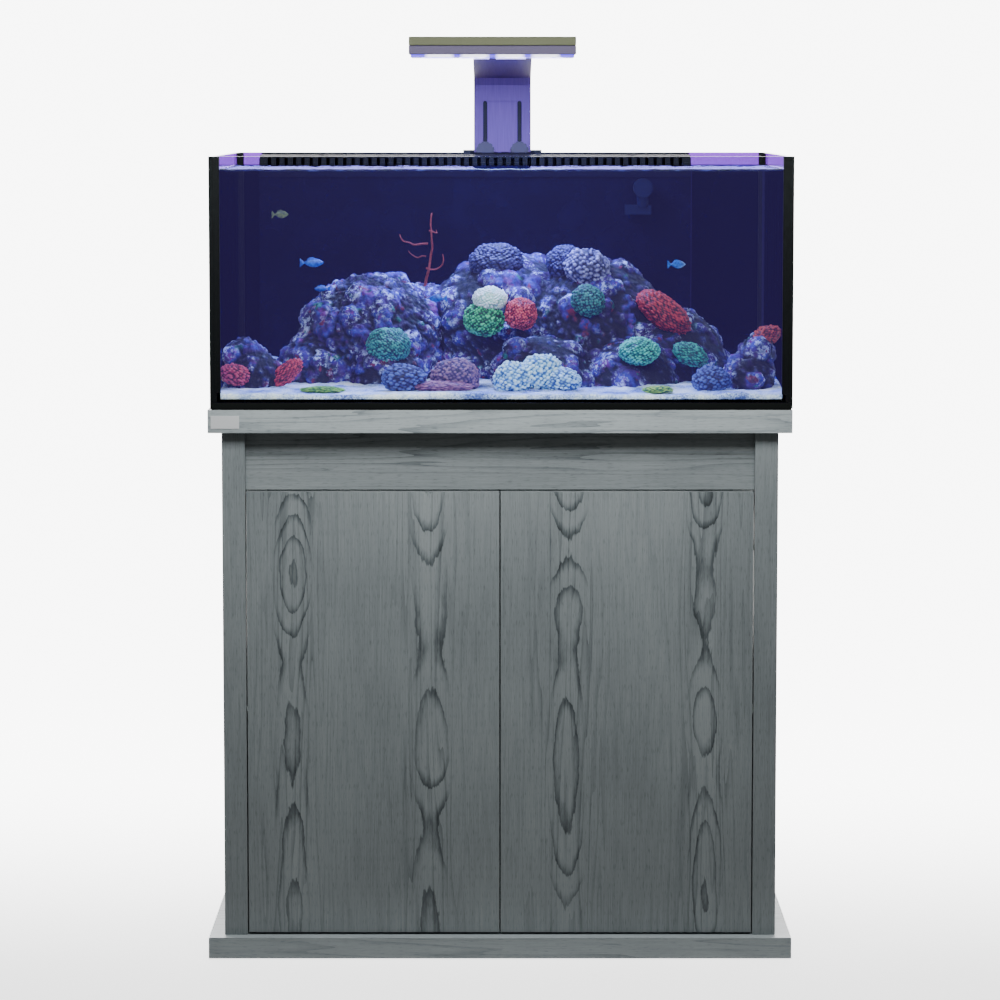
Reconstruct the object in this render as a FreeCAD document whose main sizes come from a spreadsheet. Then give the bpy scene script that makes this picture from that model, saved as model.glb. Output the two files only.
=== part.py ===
# Reef aquarium on a cabinet stand, with sump, weir and slim lamp. Millimetres, +Z up.
# Origin: floor level, under the centre of the whole object. -Y is the front, X the width.
import FreeCAD, Part
import os
import re

DIMENSIONS = {
    # whole object
    "half_depth": 313, "stand_height": 864,
    # cabinet boards
    "glide_height": 3, "glide_radius": 18, "plinth_width": 912, "plinth_depth": 608,
    "plinth_height": 33, "top_width": 904, "top_depth": 604, "top_thick": 36, "top_inset": 2,
    "carcass_width": 864, "carcass_depth": 576, "carcass_inset": 24, "side_thick": 36,
    "header_height": 91, "header_thick": 18, "header_recess": 16, "back_thick": 8,
    "rail_thick": 18, "rail_depth": 90, "cable_hole_width": 110, "cable_hole_height": 230,
    "cable_hole_up": 420, "cable_hole_offset": 250, "board_hole_radius": 30,
    "badge_width": 44, "badge_height": 20, "badge_inset": 5,
    # doors and their fittings
    "door_thick": 19, "door_gap": 2, "door_floor_gap": 4, "cup_radius": 17.5, "cup_depth": 12,
    "cup_inset": 24, "hinge_low": 90, "hinge_pitch": 258, "pivot_back": 30, "link_length": 52,
    "latch_width": 20, "latch_depth": 60, "latch_height": 60, "latch_offset": 40,
    "plunger_radius": 5, "plunger_length": 42, "lug_size": 8, "pin_radius": 2,
    "plate_height": 44, "tongue_length": 66,
    # tank
    "tank_width": 900, "tank_depth": 600, "tank_height": 390, "tank_inset": 4, "tank_shift": 2,
    "glass": 10, "base_glass": 8, "mat_thick": 2, "bond": 1, "bead": 6,
    "weir_left": -402, "weir_right": 319, "weir_depth": 70, "weir_wall": 5, "weir_top": 1222,
    "comb_height": 24, "comb_pitch": 14, "comb_tooth": 8, "lid_thick": 4, "sand_depth": 26,
    # pipes
    "pipe_radius": 16, "pipe_bore": 13, "pipe_back": 248, "drain_left": -285,
    "overflow_left": -195, "return_left": 238, "nozzle_up": 1196, "flange_radius": 26,
    "pipe_end": 370, "valve_side": 56, "valve_height": 80, "wheel_radius": 30, "stem_radius": 5,
    # sump
    "sump_width": 680, "sump_depth": 400, "sump_height": 380, "sump_glass": 6, "sump_front": -124,
    "sock_radius": 50, "sock_left": -242, "sock_drop": 230, "plate_up": 396, "valve_up": 560,
    "pump_left": 238, "pump_back": 234, "pump_up": 80,
    # lamp
    "lamp_width": 266, "lamp_depth": 200, "lamp_left": -12, "lamp_front": -89, "lamp_under": 1413,
    "lamp_body": 14, "lamp_cover": 14, "lens_width": 48, "lens_pitch": 59, "lens_depth": 6,
    "lens_length": 118, "lens_clear": 0.3, "frame_edge": 7, "screw_radius": 2.5, "hook_offset": 60,
    "hook_width": 12,
    "arm_left": 4, "arm_width": 96, "arm_thick": 3, "arm_back": 306.5, "arm_foot": 1236,
    "arm_bend": 1382, "slot_offset": 29, "slot_width": 7, "knob_up": 1257, "slot_length": 80,
    "knob_radius": 15.5, "knob_thick": 9, "thread_radius": 3,
}

doc = FreeCAD.newDocument("AquariumOnStand")
sheet = doc.addObject("Spreadsheet::Sheet", "Dims")
for row, (alias, value) in enumerate(DIMENSIONS.items(), start=1):
    sheet.set(f"A{row}", alias)
    sheet.set(f"B{row}", str(value))
    sheet.setAlias(f"B{row}", alias)
doc.recompute()

NODES = []

# Heights and planes worked out from the driving dimensions.
PLINTH_TOP = "(glide_height + plinth_height)"
BOARD_UNDER = "(stand_height - top_thick)"
BASE_UNDER = "(stand_height + mat_thick)"
BASE_TOP = "(stand_height + mat_thick + base_glass)"
PANE_UNDER = "(stand_height + mat_thick + base_glass + bond)"
RIM = "(stand_height + tank_height)"
CARCASS_FRONT = "(carcass_inset - half_depth)"
TANK_FRONT = "(tank_inset - half_depth)"
TANK_BACK = "(tank_inset - half_depth + tank_depth)"
TANK_LEFT = "(tank_shift - tank_width / 2)"
DOOR_WIDTH = "(carcass_width / 2 - side_thick - 1.5 * door_gap)"
DOOR_TOP = "(stand_height - top_thick - header_height - door_gap)"
WEIR_FRONT = f"({TANK_BACK} - glass - weir_depth)"
SUMP_UNDER = PLINTH_TOP


def formula(words):
    """Spreadsheet expression of a formula written in the sheet's aliases."""
    return re.sub(r"[a-z_]+", lambda word: f"Dims.{word[0]}" if word[0] in DIMENSIONS else word[0],
                  str(words))


def bind(item, **formulas):
    """Bind properties of an object to formulas."""
    for name, words in formulas.items():
        item.setExpression(name, formula(words))
    return item


def place(item, across, along, up):
    """Bind an object's position to three formulas."""
    item.setExpression("Placement.Base.x", formula(across))
    item.setExpression("Placement.Base.y", formula(along))
    item.setExpression("Placement.Base.z", formula(up))
    return item


def box(name, size, corner):
    """Box with its lowest corner at a place."""
    item = doc.addObject("Part::Box", name)
    bind(item, Length=size[0], Width=size[1], Height=size[2])
    return place(item, *corner)


TURNS = {
    "z": FreeCAD.Rotation(),
    "x": FreeCAD.Rotation(FreeCAD.Vector(0, 1, 0), 90),
    "y": FreeCAD.Rotation(FreeCAD.Vector(1, 0, 0), -90),
}


def rod(name, radius, length, start, axis="z"):
    """Cylinder that starts at a place and runs along +X, +Y or +Z."""
    item = doc.addObject("Part::Cylinder", name)
    item.Placement.Rotation = TURNS[axis]
    bind(item, Radius=radius, Height=length)
    return place(item, *start)


def ball(name, radius, centre):
    """Sphere about a centre."""
    item = doc.addObject("Part::Sphere", name)
    bind(item, Radius=radius)
    return place(item, *centre)


def fuse(name, *items):
    """One solid from several that meet or overlap."""
    item = doc.addObject("Part::MultiFuse", name)
    item.Shapes = list(items)
    item.Refine = True
    return item


def cut(name, base, *tools):
    """A base less its tools."""
    item = doc.addObject("Part::Cut", name)
    item.Base = base
    item.Tool = tools[0] if len(tools) == 1 else fuse(name + "_tools", *tools)
    item.Refine = True
    return item


def group(name, *items):
    """Separate solids kept together in one node."""
    item = doc.addObject("Part::Compound", name)
    item.Links = list(items)
    return item


def mirrored(name, source):
    """The same piece on the other side of the centre plane."""
    item = doc.addObject("Part::Mirroring", name)
    item.Source = source
    item.Base = FreeCAD.Vector(0, 0, 0)
    item.Normal = FreeCAD.Vector(1, 0, 0)
    return item


def node(item):
    """Mark an object as a finished piece; its label names its file."""
    NODES.append(item)
    return item


def profile_body(name, plane, points, length):
    """PartDesign body: a closed outline padded evenly both ways off an origin plane."""
    body = doc.addObject("PartDesign::Body", name)
    sketch = body.newObject("Sketcher::SketchObject", name + "_outline")
    origin = [item for item in body.Origin.OriginFeatures if item.Role == plane]
    sketch.AttachmentSupport = [(origin[0], "")]
    sketch.MapMode = "FlatFace"
    corners = [FreeCAD.Vector(across, up, 0) for across, up in points]
    for start, end in zip(corners, corners[1:] + corners[:1]):
        sketch.addGeometry(Part.LineSegment(start, end), False)
    pad = body.newObject("PartDesign::Pad", name + "_pad")
    pad.Profile = sketch
    pad.SideType = "Symmetric"
    bind(pad, Length=length)
    body.Tip = pad
    return body


# ---- cabinet -------------------------------------------------------------------------------
# Six low glides under the plinth board.
glides = []
for column in (-1, 0, 1):
    for front in (-1, 1):
        glide = rod(f"glide_{column + 1}_{front + 1}", "glide_radius", "glide_height",
                    (f"{column} * (plinth_width / 2 - 50)",
                     f"plinth_depth / 2 - half_depth + {front} * (plinth_depth / 2 - 50)", 0))
        glides.append(glide)
node(group("floor_glides", *glides))

node(box("plinth_board", ("plinth_width", "plinth_depth", "plinth_height"),
         ("-plinth_width / 2", "-half_depth", "glide_height")))

SIDE_HEIGHT = f"({BOARD_UNDER} - {PLINTH_TOP})"
node(box("side_panel_left", ("side_thick", "carcass_depth", SIDE_HEIGHT),
         ("-carcass_width / 2", CARCASS_FRONT, PLINTH_TOP)))
node(box("side_panel_right", ("side_thick", "carcass_depth", SIDE_HEIGHT),
         ("carcass_width / 2 - side_thick", CARCASS_FRONT, PLINTH_TOP)))

INNER_WIDTH = "(carcass_width - 2 * side_thick)"
node(box("header_panel", (INNER_WIDTH, "header_thick", "header_height"),
         (f"-{INNER_WIDTH} / 2", f"{CARCASS_FRONT} + header_recess", f"{BOARD_UNDER} - header_height")))

back_sheet = box("back_sheet", (INNER_WIDTH, "back_thick", SIDE_HEIGHT),
                 (f"-{INNER_WIDTH} / 2", f"{CARCASS_FRONT} + carcass_depth - back_thick", PLINTH_TOP))
back_holes = [box(f"back_hole_{side + 1}", ("cable_hole_width", "3 * back_thick", "cable_hole_height"),
                  (f"{side} * cable_hole_offset - cable_hole_width / 2",
                   f"{CARCASS_FRONT} + carcass_depth - 2 * back_thick", "cable_hole_up"))
              for side in (-1, 1)]
node(cut("back_panel", back_sheet, *back_holes))

rails = [box(f"rail_{number}", (INNER_WIDTH, "rail_depth", "rail_thick"),
             (f"-{INNER_WIDTH} / 2", along, f"{BOARD_UNDER} - rail_thick"))
         for number, along in enumerate((-240, 120))]
node(group("top_rails", *rails))

board = box("board_blank", ("top_width", "top_depth", "top_thick"),
            ("-top_width / 2", "top_inset - half_depth", BOARD_UNDER))
PIPES = ("drain_left", "overflow_left", "return_left")
board_holes = [rod(f"board_hole_{number}", "board_hole_radius", "2 * top_thick",
                   (pipe, "pipe_back", "stand_height - 1.4 * top_thick"))
               for number, pipe in enumerate(PIPES)]
node(cut("top_board", board, *board_holes))

node(box("badge_plate", ("badge_width", 1, "badge_height"),
         ("-top_width / 2 + badge_inset", "top_inset - half_depth - 1", "stand_height - 29")))

# ---- doors, concealed hinges and push latches ------------------------------------------------
DOOR_HINGE_EDGE = f"(-{INNER_WIDTH} / 2 + door_gap)"
DOOR_UNDER = f"({PLINTH_TOP} + door_floor_gap)"
CUP_CENTRE = f"({DOOR_HINGE_EDGE} + cup_inset)"
DOOR_BACK = f"({CARCASS_FRONT} + door_thick)"
HINGE_HEIGHTS = [f"({DOOR_UNDER} + hinge_low + {number} * hinge_pitch)" for number in range(3)]

door_blank = box("door_blank", (DOOR_WIDTH, "door_thick", f"{DOOR_TOP} - {DOOR_UNDER}"),
                 (DOOR_HINGE_EDGE, CARCASS_FRONT, DOOR_UNDER))
cup_bores = [rod(f"cup_bore_{number}", "cup_radius", "2 * cup_depth",
                 (CUP_CENTRE, f"{DOOR_BACK} - cup_depth", up), "y")
             for number, up in enumerate(HINGE_HEIGHTS)]
door_left = node(cut("door_left", door_blank, *cup_bores))
node(mirrored("door_right", door_left))


def hinge_cup(number, up):
    """Cup with its flange on the door's back, and the lug and pin that carry the link."""
    shell = rod(f"cup_shell_{number}", "cup_radius", "cup_depth",
                (CUP_CENTRE, f"{DOOR_BACK} - cup_depth", up), "y")
    flange = box(f"cup_flange_{number}", (32, 1.5, 60), (f"{CUP_CENTRE} - 18", DOOR_BACK, f"{up} - 30"))
    hollow = rod(f"cup_hollow_{number}", "cup_radius - 2", "2 * cup_depth",
                 (CUP_CENTRE, f"{DOOR_BACK} - cup_depth + 1.5", up), "y")
    lug = box(f"cup_lug_{number}", ("lug_size", "cup_depth + pivot_back - door_thick", "lug_size / 2"),
              (f"{CUP_CENTRE} - lug_size / 2", f"{DOOR_BACK} - cup_depth", f"{up} + 2.2"))
    eye = rod(f"cup_eye_{number}", "lug_size / 2 + 1", "lug_size / 2",
              (CUP_CENTRE, f"{CARCASS_FRONT} + pivot_back", f"{up} + 2.2"))
    pin = rod(f"cup_pin_{number}", "pin_radius", 5,
              (CUP_CENTRE, f"{CARCASS_FRONT} + pivot_back", f"{up} - 2.5"))
    ring = cut(f"cup_ring_{number}", fuse(f"cup_solid_{number}", shell, flange), hollow)
    return fuse(f"cup_{number}", ring, lug, eye, pin)


def hinge_link(number, up):
    """Flat bar that turns on the cup's pin and slides over the arm; its far end is free."""
    bar = box(f"link_bar_{number}", ("lug_size", "link_length", 3.5),
              (f"{CUP_CENTRE} - lug_size / 2", f"{CARCASS_FRONT} + pivot_back", f"{up} - 1.6"))
    ends = [rod(f"link_end_{number}_{end}", "lug_size / 2", 3.5,
                (CUP_CENTRE, f"{CARCASS_FRONT} + pivot_back + {end} * link_length", f"{up} - 1.6"))
            for end in (0, 1)]
    hole = rod(f"link_hole_{number}", "pin_radius + 0.05", 12,
               (CUP_CENTRE, f"{CARCASS_FRONT} + pivot_back", f"{up} - 6"))
    return cut(f"link_{number}", fuse(f"link_solid_{number}", bar, *ends), hole)


def hinge_arm(number, up):
    """Mounting plate on the side panel with the flat arm that carries the link."""
    plate = box(f"arm_plate_{number}", (3, 50, "plate_height"),
                (f"-{INNER_WIDTH} / 2", f"{CARCASS_FRONT} + 42", f"{up} - plate_height / 2"))
    tongue = box(f"arm_tongue_{number}", ("plate_height", "tongue_length", 3),
                 (f"-{INNER_WIDTH} / 2", f"{CARCASS_FRONT} + 24", f"{up} - 5.5"))
    return fuse(f"arm_{number}", plate, tongue)


for label, maker in (("hinge_cups", hinge_cup), ("hinge_links", hinge_link)):
    pieces = [maker(number, up) for number, up in enumerate(HINGE_HEIGHTS)]
    left = node(group(label + "_left", *pieces))
    node(mirrored(label + "_right", left))
arms_left = [hinge_arm(number, up) for number, up in enumerate(HINGE_HEIGHTS)]
arms_right = [mirrored(f"arm_right_{number}", arm) for number, arm in enumerate(arms_left)]
node(group("hinge_arms", *arms_left, *arms_right))

# Push latches: a block behind the header and a spring plunger at each door's free top corner.
LATCH_EDGE = "-latch_offset - latch_width / 2"
LATCH_UP = f"({DOOR_TOP} - 17)"
PLUNGER_FRONT = f"({DOOR_BACK} + 0.5)"
latch_block = box("latch_block", ("latch_width", "latch_depth", "latch_height"),
                  (LATCH_EDGE, f"{CARCASS_FRONT} + header_recess + header_thick", f"{LATCH_UP} - 12"))
latch_bore = rod("latch_bore", "plunger_radius + 0.08", 48,
                 ("-latch_offset", f"{CARCASS_FRONT} + header_recess + header_thick - 1", LATCH_UP), "y")
latch_left = cut("latch_left", latch_block, latch_bore)
node(group("latch_housings", latch_left, mirrored("latch_right", latch_left)))
plunger = node(rod("latch_plunger_left", "plunger_radius", "plunger_length",
                   ("-latch_offset", PLUNGER_FRONT, LATCH_UP), "y"))
node(mirrored("latch_plunger_right", plunger))

# ---- tank ------------------------------------------------------------------------------------
mat = box("mat_blank", ("tank_width - 4", "tank_depth - 4", "mat_thick"),
          (f"{TANK_LEFT} + 2", f"{TANK_FRONT} + 2", "stand_height"))
mat_holes = [rod(f"mat_hole_{number}", "board_hole_radius", 20, (pipe, "pipe_back", "stand_height - 10"))
             for number, pipe in enumerate(PIPES)]
node(cut("foam_mat", mat, *mat_holes))

base = box("base_blank", ("tank_width", "tank_depth", "base_glass"), (TANK_LEFT, TANK_FRONT, BASE_UNDER))
base_holes = [rod(f"base_hole_{number}", "pipe_radius + 4", 40, (pipe, "pipe_back", "stand_height - 10"))
              for number, pipe in enumerate(PIPES)]
node(cut("base_pane", base, *base_holes))

PANE_HEIGHT = f"({RIM} - {PANE_UNDER})"
node(box("front_pane", ("tank_width", "glass", PANE_HEIGHT), (TANK_LEFT, TANK_FRONT, PANE_UNDER)))
node(box("rear_pane", ("tank_width", "glass", PANE_HEIGHT), (TANK_LEFT, f"{TANK_BACK} - glass", PANE_UNDER)))
END_DEPTH = "(tank_depth - 2 * glass - 2 * bond)"
node(box("left_pane", ("glass", END_DEPTH, PANE_HEIGHT),
         (TANK_LEFT, f"{TANK_FRONT} + glass + bond", PANE_UNDER)))
node(box("right_pane", ("glass", END_DEPTH, PANE_HEIGHT),
         (f"{TANK_LEFT} + tank_width - glass", f"{TANK_FRONT} + glass + bond", PANE_UNDER)))

# Weir box: a black acrylic chamber along the rear, open at the top.
WEIR_HEIGHT = f"(weir_top - {BASE_TOP})"
WEIR_FULL = f"({WEIR_HEIGHT} + comb_height)"
front_wall = box("weir_front_wall", ("weir_right - weir_left", "weir_wall", WEIR_HEIGHT),
                 ("weir_left", WEIR_FRONT, BASE_TOP))
end_walls = [box(f"weir_end_{number}", ("weir_wall", "weir_depth - weir_wall", WEIR_FULL),
                 (across, f"{WEIR_FRONT} + weir_wall", BASE_TOP))
             for number, across in enumerate(("weir_left", "weir_right - weir_wall"))]
nozzle_hole = rod("nozzle_hole", "pipe_bore", 30, ("return_left", f"{WEIR_FRONT} - 10", "nozzle_up"), "y")
weir = node(cut("weir_box", fuse("weir_walls", front_wall, *end_walls), nozzle_hole))

# Silicone: a bond layer under and between the panes, and a bead in every inner corner.
INSIDE_WIDTH = "(tank_width - 2 * glass)"
INSIDE_DEPTH = "(tank_depth - 2 * glass)"


def ring(name, inset, up, height, width):
    """Rectangular ring inside the tank's outline."""
    outer = box(name + "_outer", (f"tank_width - 2 * {inset}", f"tank_depth - 2 * {inset}", height),
                (f"{TANK_LEFT} + {inset}", f"{TANK_FRONT} + {inset}", up))
    inner = box(name + "_inner", (f"tank_width - 2 * ({inset} + {width})",
                                  f"tank_depth - 2 * ({inset} + {width})", f"3 * {height}"),
                (f"{TANK_LEFT} + {inset} + {width}", f"{TANK_FRONT} + {inset} + {width}",
                 f"{up} - {height}"))
    return cut(name, outer, inner)


corner_strips = []
for end in (0, 1):
    for rear in (0, 1):
        bond_strip = box(f"bond_{end}_{rear}", ("glass", "bond", PANE_HEIGHT),
                         (f"{TANK_LEFT} + {end} * (tank_width - glass)",
                          f"{TANK_FRONT} + glass + {rear} * ({INSIDE_DEPTH} - bond)", PANE_UNDER))
        bead_strip = box(f"bead_{end}_{rear}", ("bead", "bead", PANE_HEIGHT),
                         (f"{TANK_LEFT} + glass + {end} * ({INSIDE_WIDTH} - bead)",
                          f"{TANK_FRONT} + glass + {rear} * ({INSIDE_DEPTH} - bead)", PANE_UNDER))
        corner_strips += [bond_strip, bead_strip]
silicone = fuse("silicone_solid", ring("bond_ring", 0, BASE_TOP, "bond", "glass"),
                ring("bead_ring", "glass", BASE_TOP, "bead", "bead"), *corner_strips)
seams = node(cut("silicone_seams", silicone, weir))

# Comb on the weir's front wall, and the lid that rests on its end walls.
comb_bar = box("comb_bar", ("weir_right - weir_left - 0.6", "weir_wall", "comb_height"),
               ("weir_left + 0.3", WEIR_FRONT, "weir_top"))
comb_lip = box("comb_lip", ("weir_right - weir_left - 0.6", 3, "comb_height"),
               ("weir_left + 0.3", f"{WEIR_FRONT} - 3.2", "weir_top - 8"))
comb_bridge = box("comb_bridge", ("weir_right - weir_left - 0.6", 4, 6),
                  ("weir_left + 0.3", f"{WEIR_FRONT} - 3.2", "weir_top + 1"))
comb_slots = [box(f"comb_slot_{number}", ("comb_pitch - comb_tooth", 30, 17),
                  (f"weir_left + {number + 1} * comb_pitch", f"{WEIR_FRONT} - 10", "weir_top + 8"))
              for number in range(50)]
node(cut("weir_comb", fuse("comb_solid", comb_bar, comb_lip, comb_bridge), *comb_slots))
lid_blank = box("lid_blank", ("weir_right - weir_left - 2", "weir_depth - weir_wall - 10", "lid_thick"),
                ("weir_left + 1", f"{WEIR_FRONT} + weir_wall + 1", "weir_top + comb_height"))
lid_holes = [rod(f"lid_hole_{number}", 10, 20, (across, f"{WEIR_FRONT} + 36", "weir_top + 15"))
             for number, across in enumerate((-300, 220))]
node(cut("weir_lid", lid_blank, *lid_holes))

# ---- pipes -----------------------------------------------------------------------------------
bulkheads = []
for number, pipe in enumerate(PIPES):
    stem = rod(f"bulkhead_stem_{number}", "pipe_radius + 3.8", 84,
               (pipe, "pipe_back", f"{BASE_TOP} + 8 - 84"))
    flange = rod(f"bulkhead_flange_{number}", "flange_radius", 8, (pipe, "pipe_back", BASE_TOP))
    nut = rod(f"bulkhead_nut_{number}", "flange_radius", 14, (pipe, "pipe_back", f"{BASE_UNDER} - 14"))
    bore = rod(f"bulkhead_bore_{number}", "pipe_radius", 200, (pipe, "pipe_back", "stand_height - 100"))
    bulkheads.append(cut(f"bulkhead_{number}", fuse(f"bulkhead_solid_{number}", stem, flange, nut), bore))
node(group("bulkheads", *bulkheads))


def pipe(name, across, low, high):
    """Upright pipe between two heights."""
    outer = rod(name + "_outer", "pipe_radius", f"{high} - {low}", (across, "pipe_back", low))
    bore = rod(name + "_bore", "pipe_bore", f"{high} - {low} + 20", (across, "pipe_back", f"{low} - 10"))
    return cut(name, outer, bore)


node(group("standpipes", pipe("main_standpipe", "drain_left", "stand_height", 1190),
           pipe("spare_standpipe", "overflow_left", "stand_height", 1222)))
node(group("drain_pipes", pipe("main_drain", "drain_left", "pipe_end", "stand_height - 20"),
           pipe("spare_drain", "overflow_left", "pipe_end", "stand_height - 20")))

# Return: pump outlet to bulkhead, riser in the weir, and an elbow block out through its wall.
lower_return = pipe("lower_return", "return_left", "pump_up + 36", "stand_height - 20")
riser = rod("riser_outer", "pipe_radius", "nozzle_up + 18 - stand_height",
            ("return_left", "pipe_back", "stand_height"))
outlet = rod("outlet_outer", "pipe_bore", f"pipe_back - {WEIR_FRONT} + 4",
             ("return_left", f"{WEIR_FRONT} - 4", "nozzle_up"), "y")
riser_bore = rod("riser_bore", 10, "nozzle_up - stand_height + 10",
                 ("return_left", "pipe_back", "stand_height - 10"))
outlet_bore = rod("outlet_bore", 10, f"pipe_back - {WEIR_FRONT} + 14",
                  ("return_left", f"{WEIR_FRONT} - 14", "nozzle_up"), "y")
upper_return = cut("upper_return", fuse("return_solid", riser, outlet), riser_bore, outlet_bore)
node(group("return_pipes", lower_return, upper_return))

# Nozzle: a collar on the outlet's end and a drop tube with a flared flat mouth.
NOZZLE_BACK = f"({WEIR_FRONT} - 4.2)"
collar = rod("nozzle_collar", 16, 26, ("return_left", f"{NOZZLE_BACK} - 26", "nozzle_up"), "y")
drop = rod("nozzle_drop", 10, 30, ("return_left", f"{NOZZLE_BACK} - 13", "nozzle_up - 32"))
mouth = box("nozzle_mouth", (44, 12, 16), ("return_left - 30", f"{NOZZLE_BACK} - 19", "nozzle_up - 44"))
slot = box("nozzle_slot", (60, 6, 8), ("return_left - 60", f"{NOZZLE_BACK} - 16", "nozzle_up - 40"))
node(cut("return_nozzle", fuse("nozzle_solid", collar, drop, mouth), slot))

# Gate valve on the main drain: the pipe runs through its body, the wheel faces the doors.
valve_block = box("valve_block", ("valve_side", "valve_side", "valve_height"),
                  ("drain_left - valve_side / 2", "pipe_back - valve_side / 2",
                   "valve_up - valve_height / 2"))
valve_neck = rod("valve_neck", 14, 22, ("drain_left", "pipe_back - 50", "valve_up"), "y")
valve_bore = rod("valve_bore", "pipe_radius", 100, ("drain_left", "pipe_back", "valve_up - 50"))
stem_bore = rod("stem_bore", "stem_radius + 0.06", 40, ("drain_left", "pipe_back - 60", "valve_up"), "y")
node(cut("valve_body", fuse("valve_solid", valve_block, valve_neck), valve_bore, stem_bore))
wheel_disc = rod("wheel_disc", "wheel_radius", 8, ("drain_left", "pipe_back - 66", "valve_up"), "y")
wheel_stem = rod("wheel_stem", "stem_radius", 44, ("drain_left", "pipe_back - 66", "valve_up"), "y")
wheel_holes = [rod(f"wheel_hole_{number}", 6, 20,
                   (f"drain_left + 19 * cos({number} * 72)", "pipe_back - 72",
                    f"valve_up + 19 * sin({number} * 72)"), "y")
               for number in range(5)]
node(cut("valve_wheel", fuse("wheel_solid", wheel_disc, wheel_stem), *wheel_holes))

# ---- sump ------------------------------------------------------------------------------------
SUMP_LEFT = "(-sump_width / 2)"
sump_block = box("sump_block", ("sump_width", "sump_depth", "sump_height"),
                 (SUMP_LEFT, "sump_front", SUMP_UNDER))
sump_space = box("sump_space",
                 ("sump_width - 2 * sump_glass", "sump_depth - 2 * sump_glass", "sump_height"),
                 (f"{SUMP_LEFT} + sump_glass", "sump_front + sump_glass", f"{SUMP_UNDER} + sump_glass"))
node(cut("sump_tank", sump_block, sump_space))
baffles = [box(f"baffle_{number}", ("sump_glass", "sump_depth - 2 * sump_glass", height),
               (across, "sump_front + sump_glass", f"{SUMP_UNDER} + sump_glass"))
           for number, (across, height) in enumerate(((-146, 340), (128, 290)))]
node(group("sump_baffles", *baffles))

SOCKS = (-50, 75)
plate_blank = box("plate_blank", (f"-146 - {SUMP_LEFT} - sump_glass", "sump_depth - 2 * sump_glass", 6),
                  (f"{SUMP_LEFT} + sump_glass", "sump_front + sump_glass", "plate_up"))
plate_holes = [rod(f"sock_hole_{number}", "sock_radius + 1", 30, ("sock_left", along, "plate_up - 10"))
               for number, along in enumerate(SOCKS)]
plate_holes += [rod(f"drain_hole_{number}", "pipe_radius + 1", 30, (across, "pipe_back", "plate_up - 10"))
                for number, across in enumerate(PIPES[:2])]
node(cut("sock_plate", plate_blank, *plate_holes))

for number, (along, label) in enumerate(zip(SOCKS, ("filter_sock_front", "filter_sock_rear"))):
    rim = rod(f"sock_rim_{number}", "sock_radius + 8", 6, ("sock_left", along, "plate_up + 6.2"))
    bag = rod(f"sock_bag_{number}", "sock_radius", "sock_drop + 6",
              ("sock_left", along, "plate_up + 6.2 - sock_drop"))
    hollow = rod(f"sock_hollow_{number}", "sock_radius - 3", "sock_drop + 20",
                 ("sock_left", along, "plate_up + 9.2 - sock_drop"))
    node(cut(label, fuse(f"sock_solid_{number}", rim, bag), hollow))

# Return pump: a volute and motor along X, inlet to the right, outlet straight up.
volute = rod("volute", 34, 40, ("pump_left - 20", "pump_back", "pump_up"), "x")
motor = rod("motor", 28, 66, ("pump_left - 86", "pump_back", "pump_up"), "x")
inlet = rod("inlet", 18, 24, ("pump_left + 20", "pump_back", "pump_up"), "x")
foot = box("pump_foot", (96, 50, 12), ("pump_left - 76", "pump_back - 25", "pump_up - 38"))
throat = rod("throat", "pipe_radius + 4", 52, ("pump_left", "pipe_back", "pump_up"))
volute_space = rod("volute_space", 29, 32, ("pump_left - 16", "pump_back", "pump_up"), "x")
motor_space = rod("motor_space", 14, 60, ("pump_left - 76", "pump_back", "pump_up"), "x")
shaft_bore = rod("shaft_bore", 3.06, 14, ("pump_left - 84", "pump_back", "pump_up"), "x")
inlet_bore = rod("inlet_bore", 12, 60, ("pump_left", "pump_back", "pump_up"), "x")
throat_bore = rod("throat_bore", "pipe_bore", 60, ("pump_left", "pipe_back", "pump_up"))
socket = rod("throat_socket", "pipe_radius", 40, ("pump_left", "pipe_back", "pump_up + 36"))
node(cut("pump_housing", fuse("pump_solid", volute, motor, inlet, foot, throat),
         volute_space, motor_space, shaft_bore, inlet_bore, throat_bore, socket))
magnet = rod("magnet", 12, 52, ("pump_left - 70", "pump_back", "pump_up"), "x")
shaft = rod("shaft", 3, 84, ("pump_left - 82", "pump_back", "pump_up"), "x")
disc = rod("impeller_disc", 25, 3, ("pump_left - 12", "pump_back", "pump_up"), "x")
vanes = [box("vane_upright", (14, 3, 44), ("pump_left - 12", "pump_back - 1.5", "pump_up - 22")),
         box("vane_flat", (14, 44, 3), ("pump_left - 12", "pump_back - 22", "pump_up - 1.5"))]
web = rod("rotor_web", 5, 20, ("pump_left - 24", "pump_back", "pump_up"), "x")
node(fuse("pump_rotor", magnet, shaft, disc, web, *vanes))

# ---- reef ------------------------------------------------------------------------------------
sand_block = box("sand_block", (INSIDE_WIDTH, f"{WEIR_FRONT} - {TANK_FRONT} - glass", "sand_depth"),
                 (f"{TANK_LEFT} + glass", f"{TANK_FRONT} + glass", BASE_TOP))
sand = node(cut("sand_bed", sand_block, seams))

# Rock mounds: (radius, centre across, along, up).
LEFT_ROCK = ((118, -200, -20, 945), (72, -290, -70, 905), (92, -130, 55, 960))
MAIN_ROCK = ((148, 15, 30, 952), (138, 150, 5, 955), (104, 268, -25, 920), (88, 70, -125, 890),
             (84, 205, -115, 895))
SMALL_ROCKS = ((62, -374, -190, 905), (60, 380, -190, 905))
TANK_FLOOR = f"({BASE_TOP} + sand_depth)"
rock_floor = box("rock_floor", (1000, 700, 200), (-500, -350, f"{TANK_FLOOR} - 200"))


def rockwork(name, mounds, *tools):
    """Mounds that stand on the sand, less any tools."""
    solids = [ball(f"{name}_mound_{number}", radius, centre)
              for number, (radius, *centre) in enumerate(mounds)]
    return cut(name, fuse(name + "_solid", *solids), rock_floor, *tools)


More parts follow.
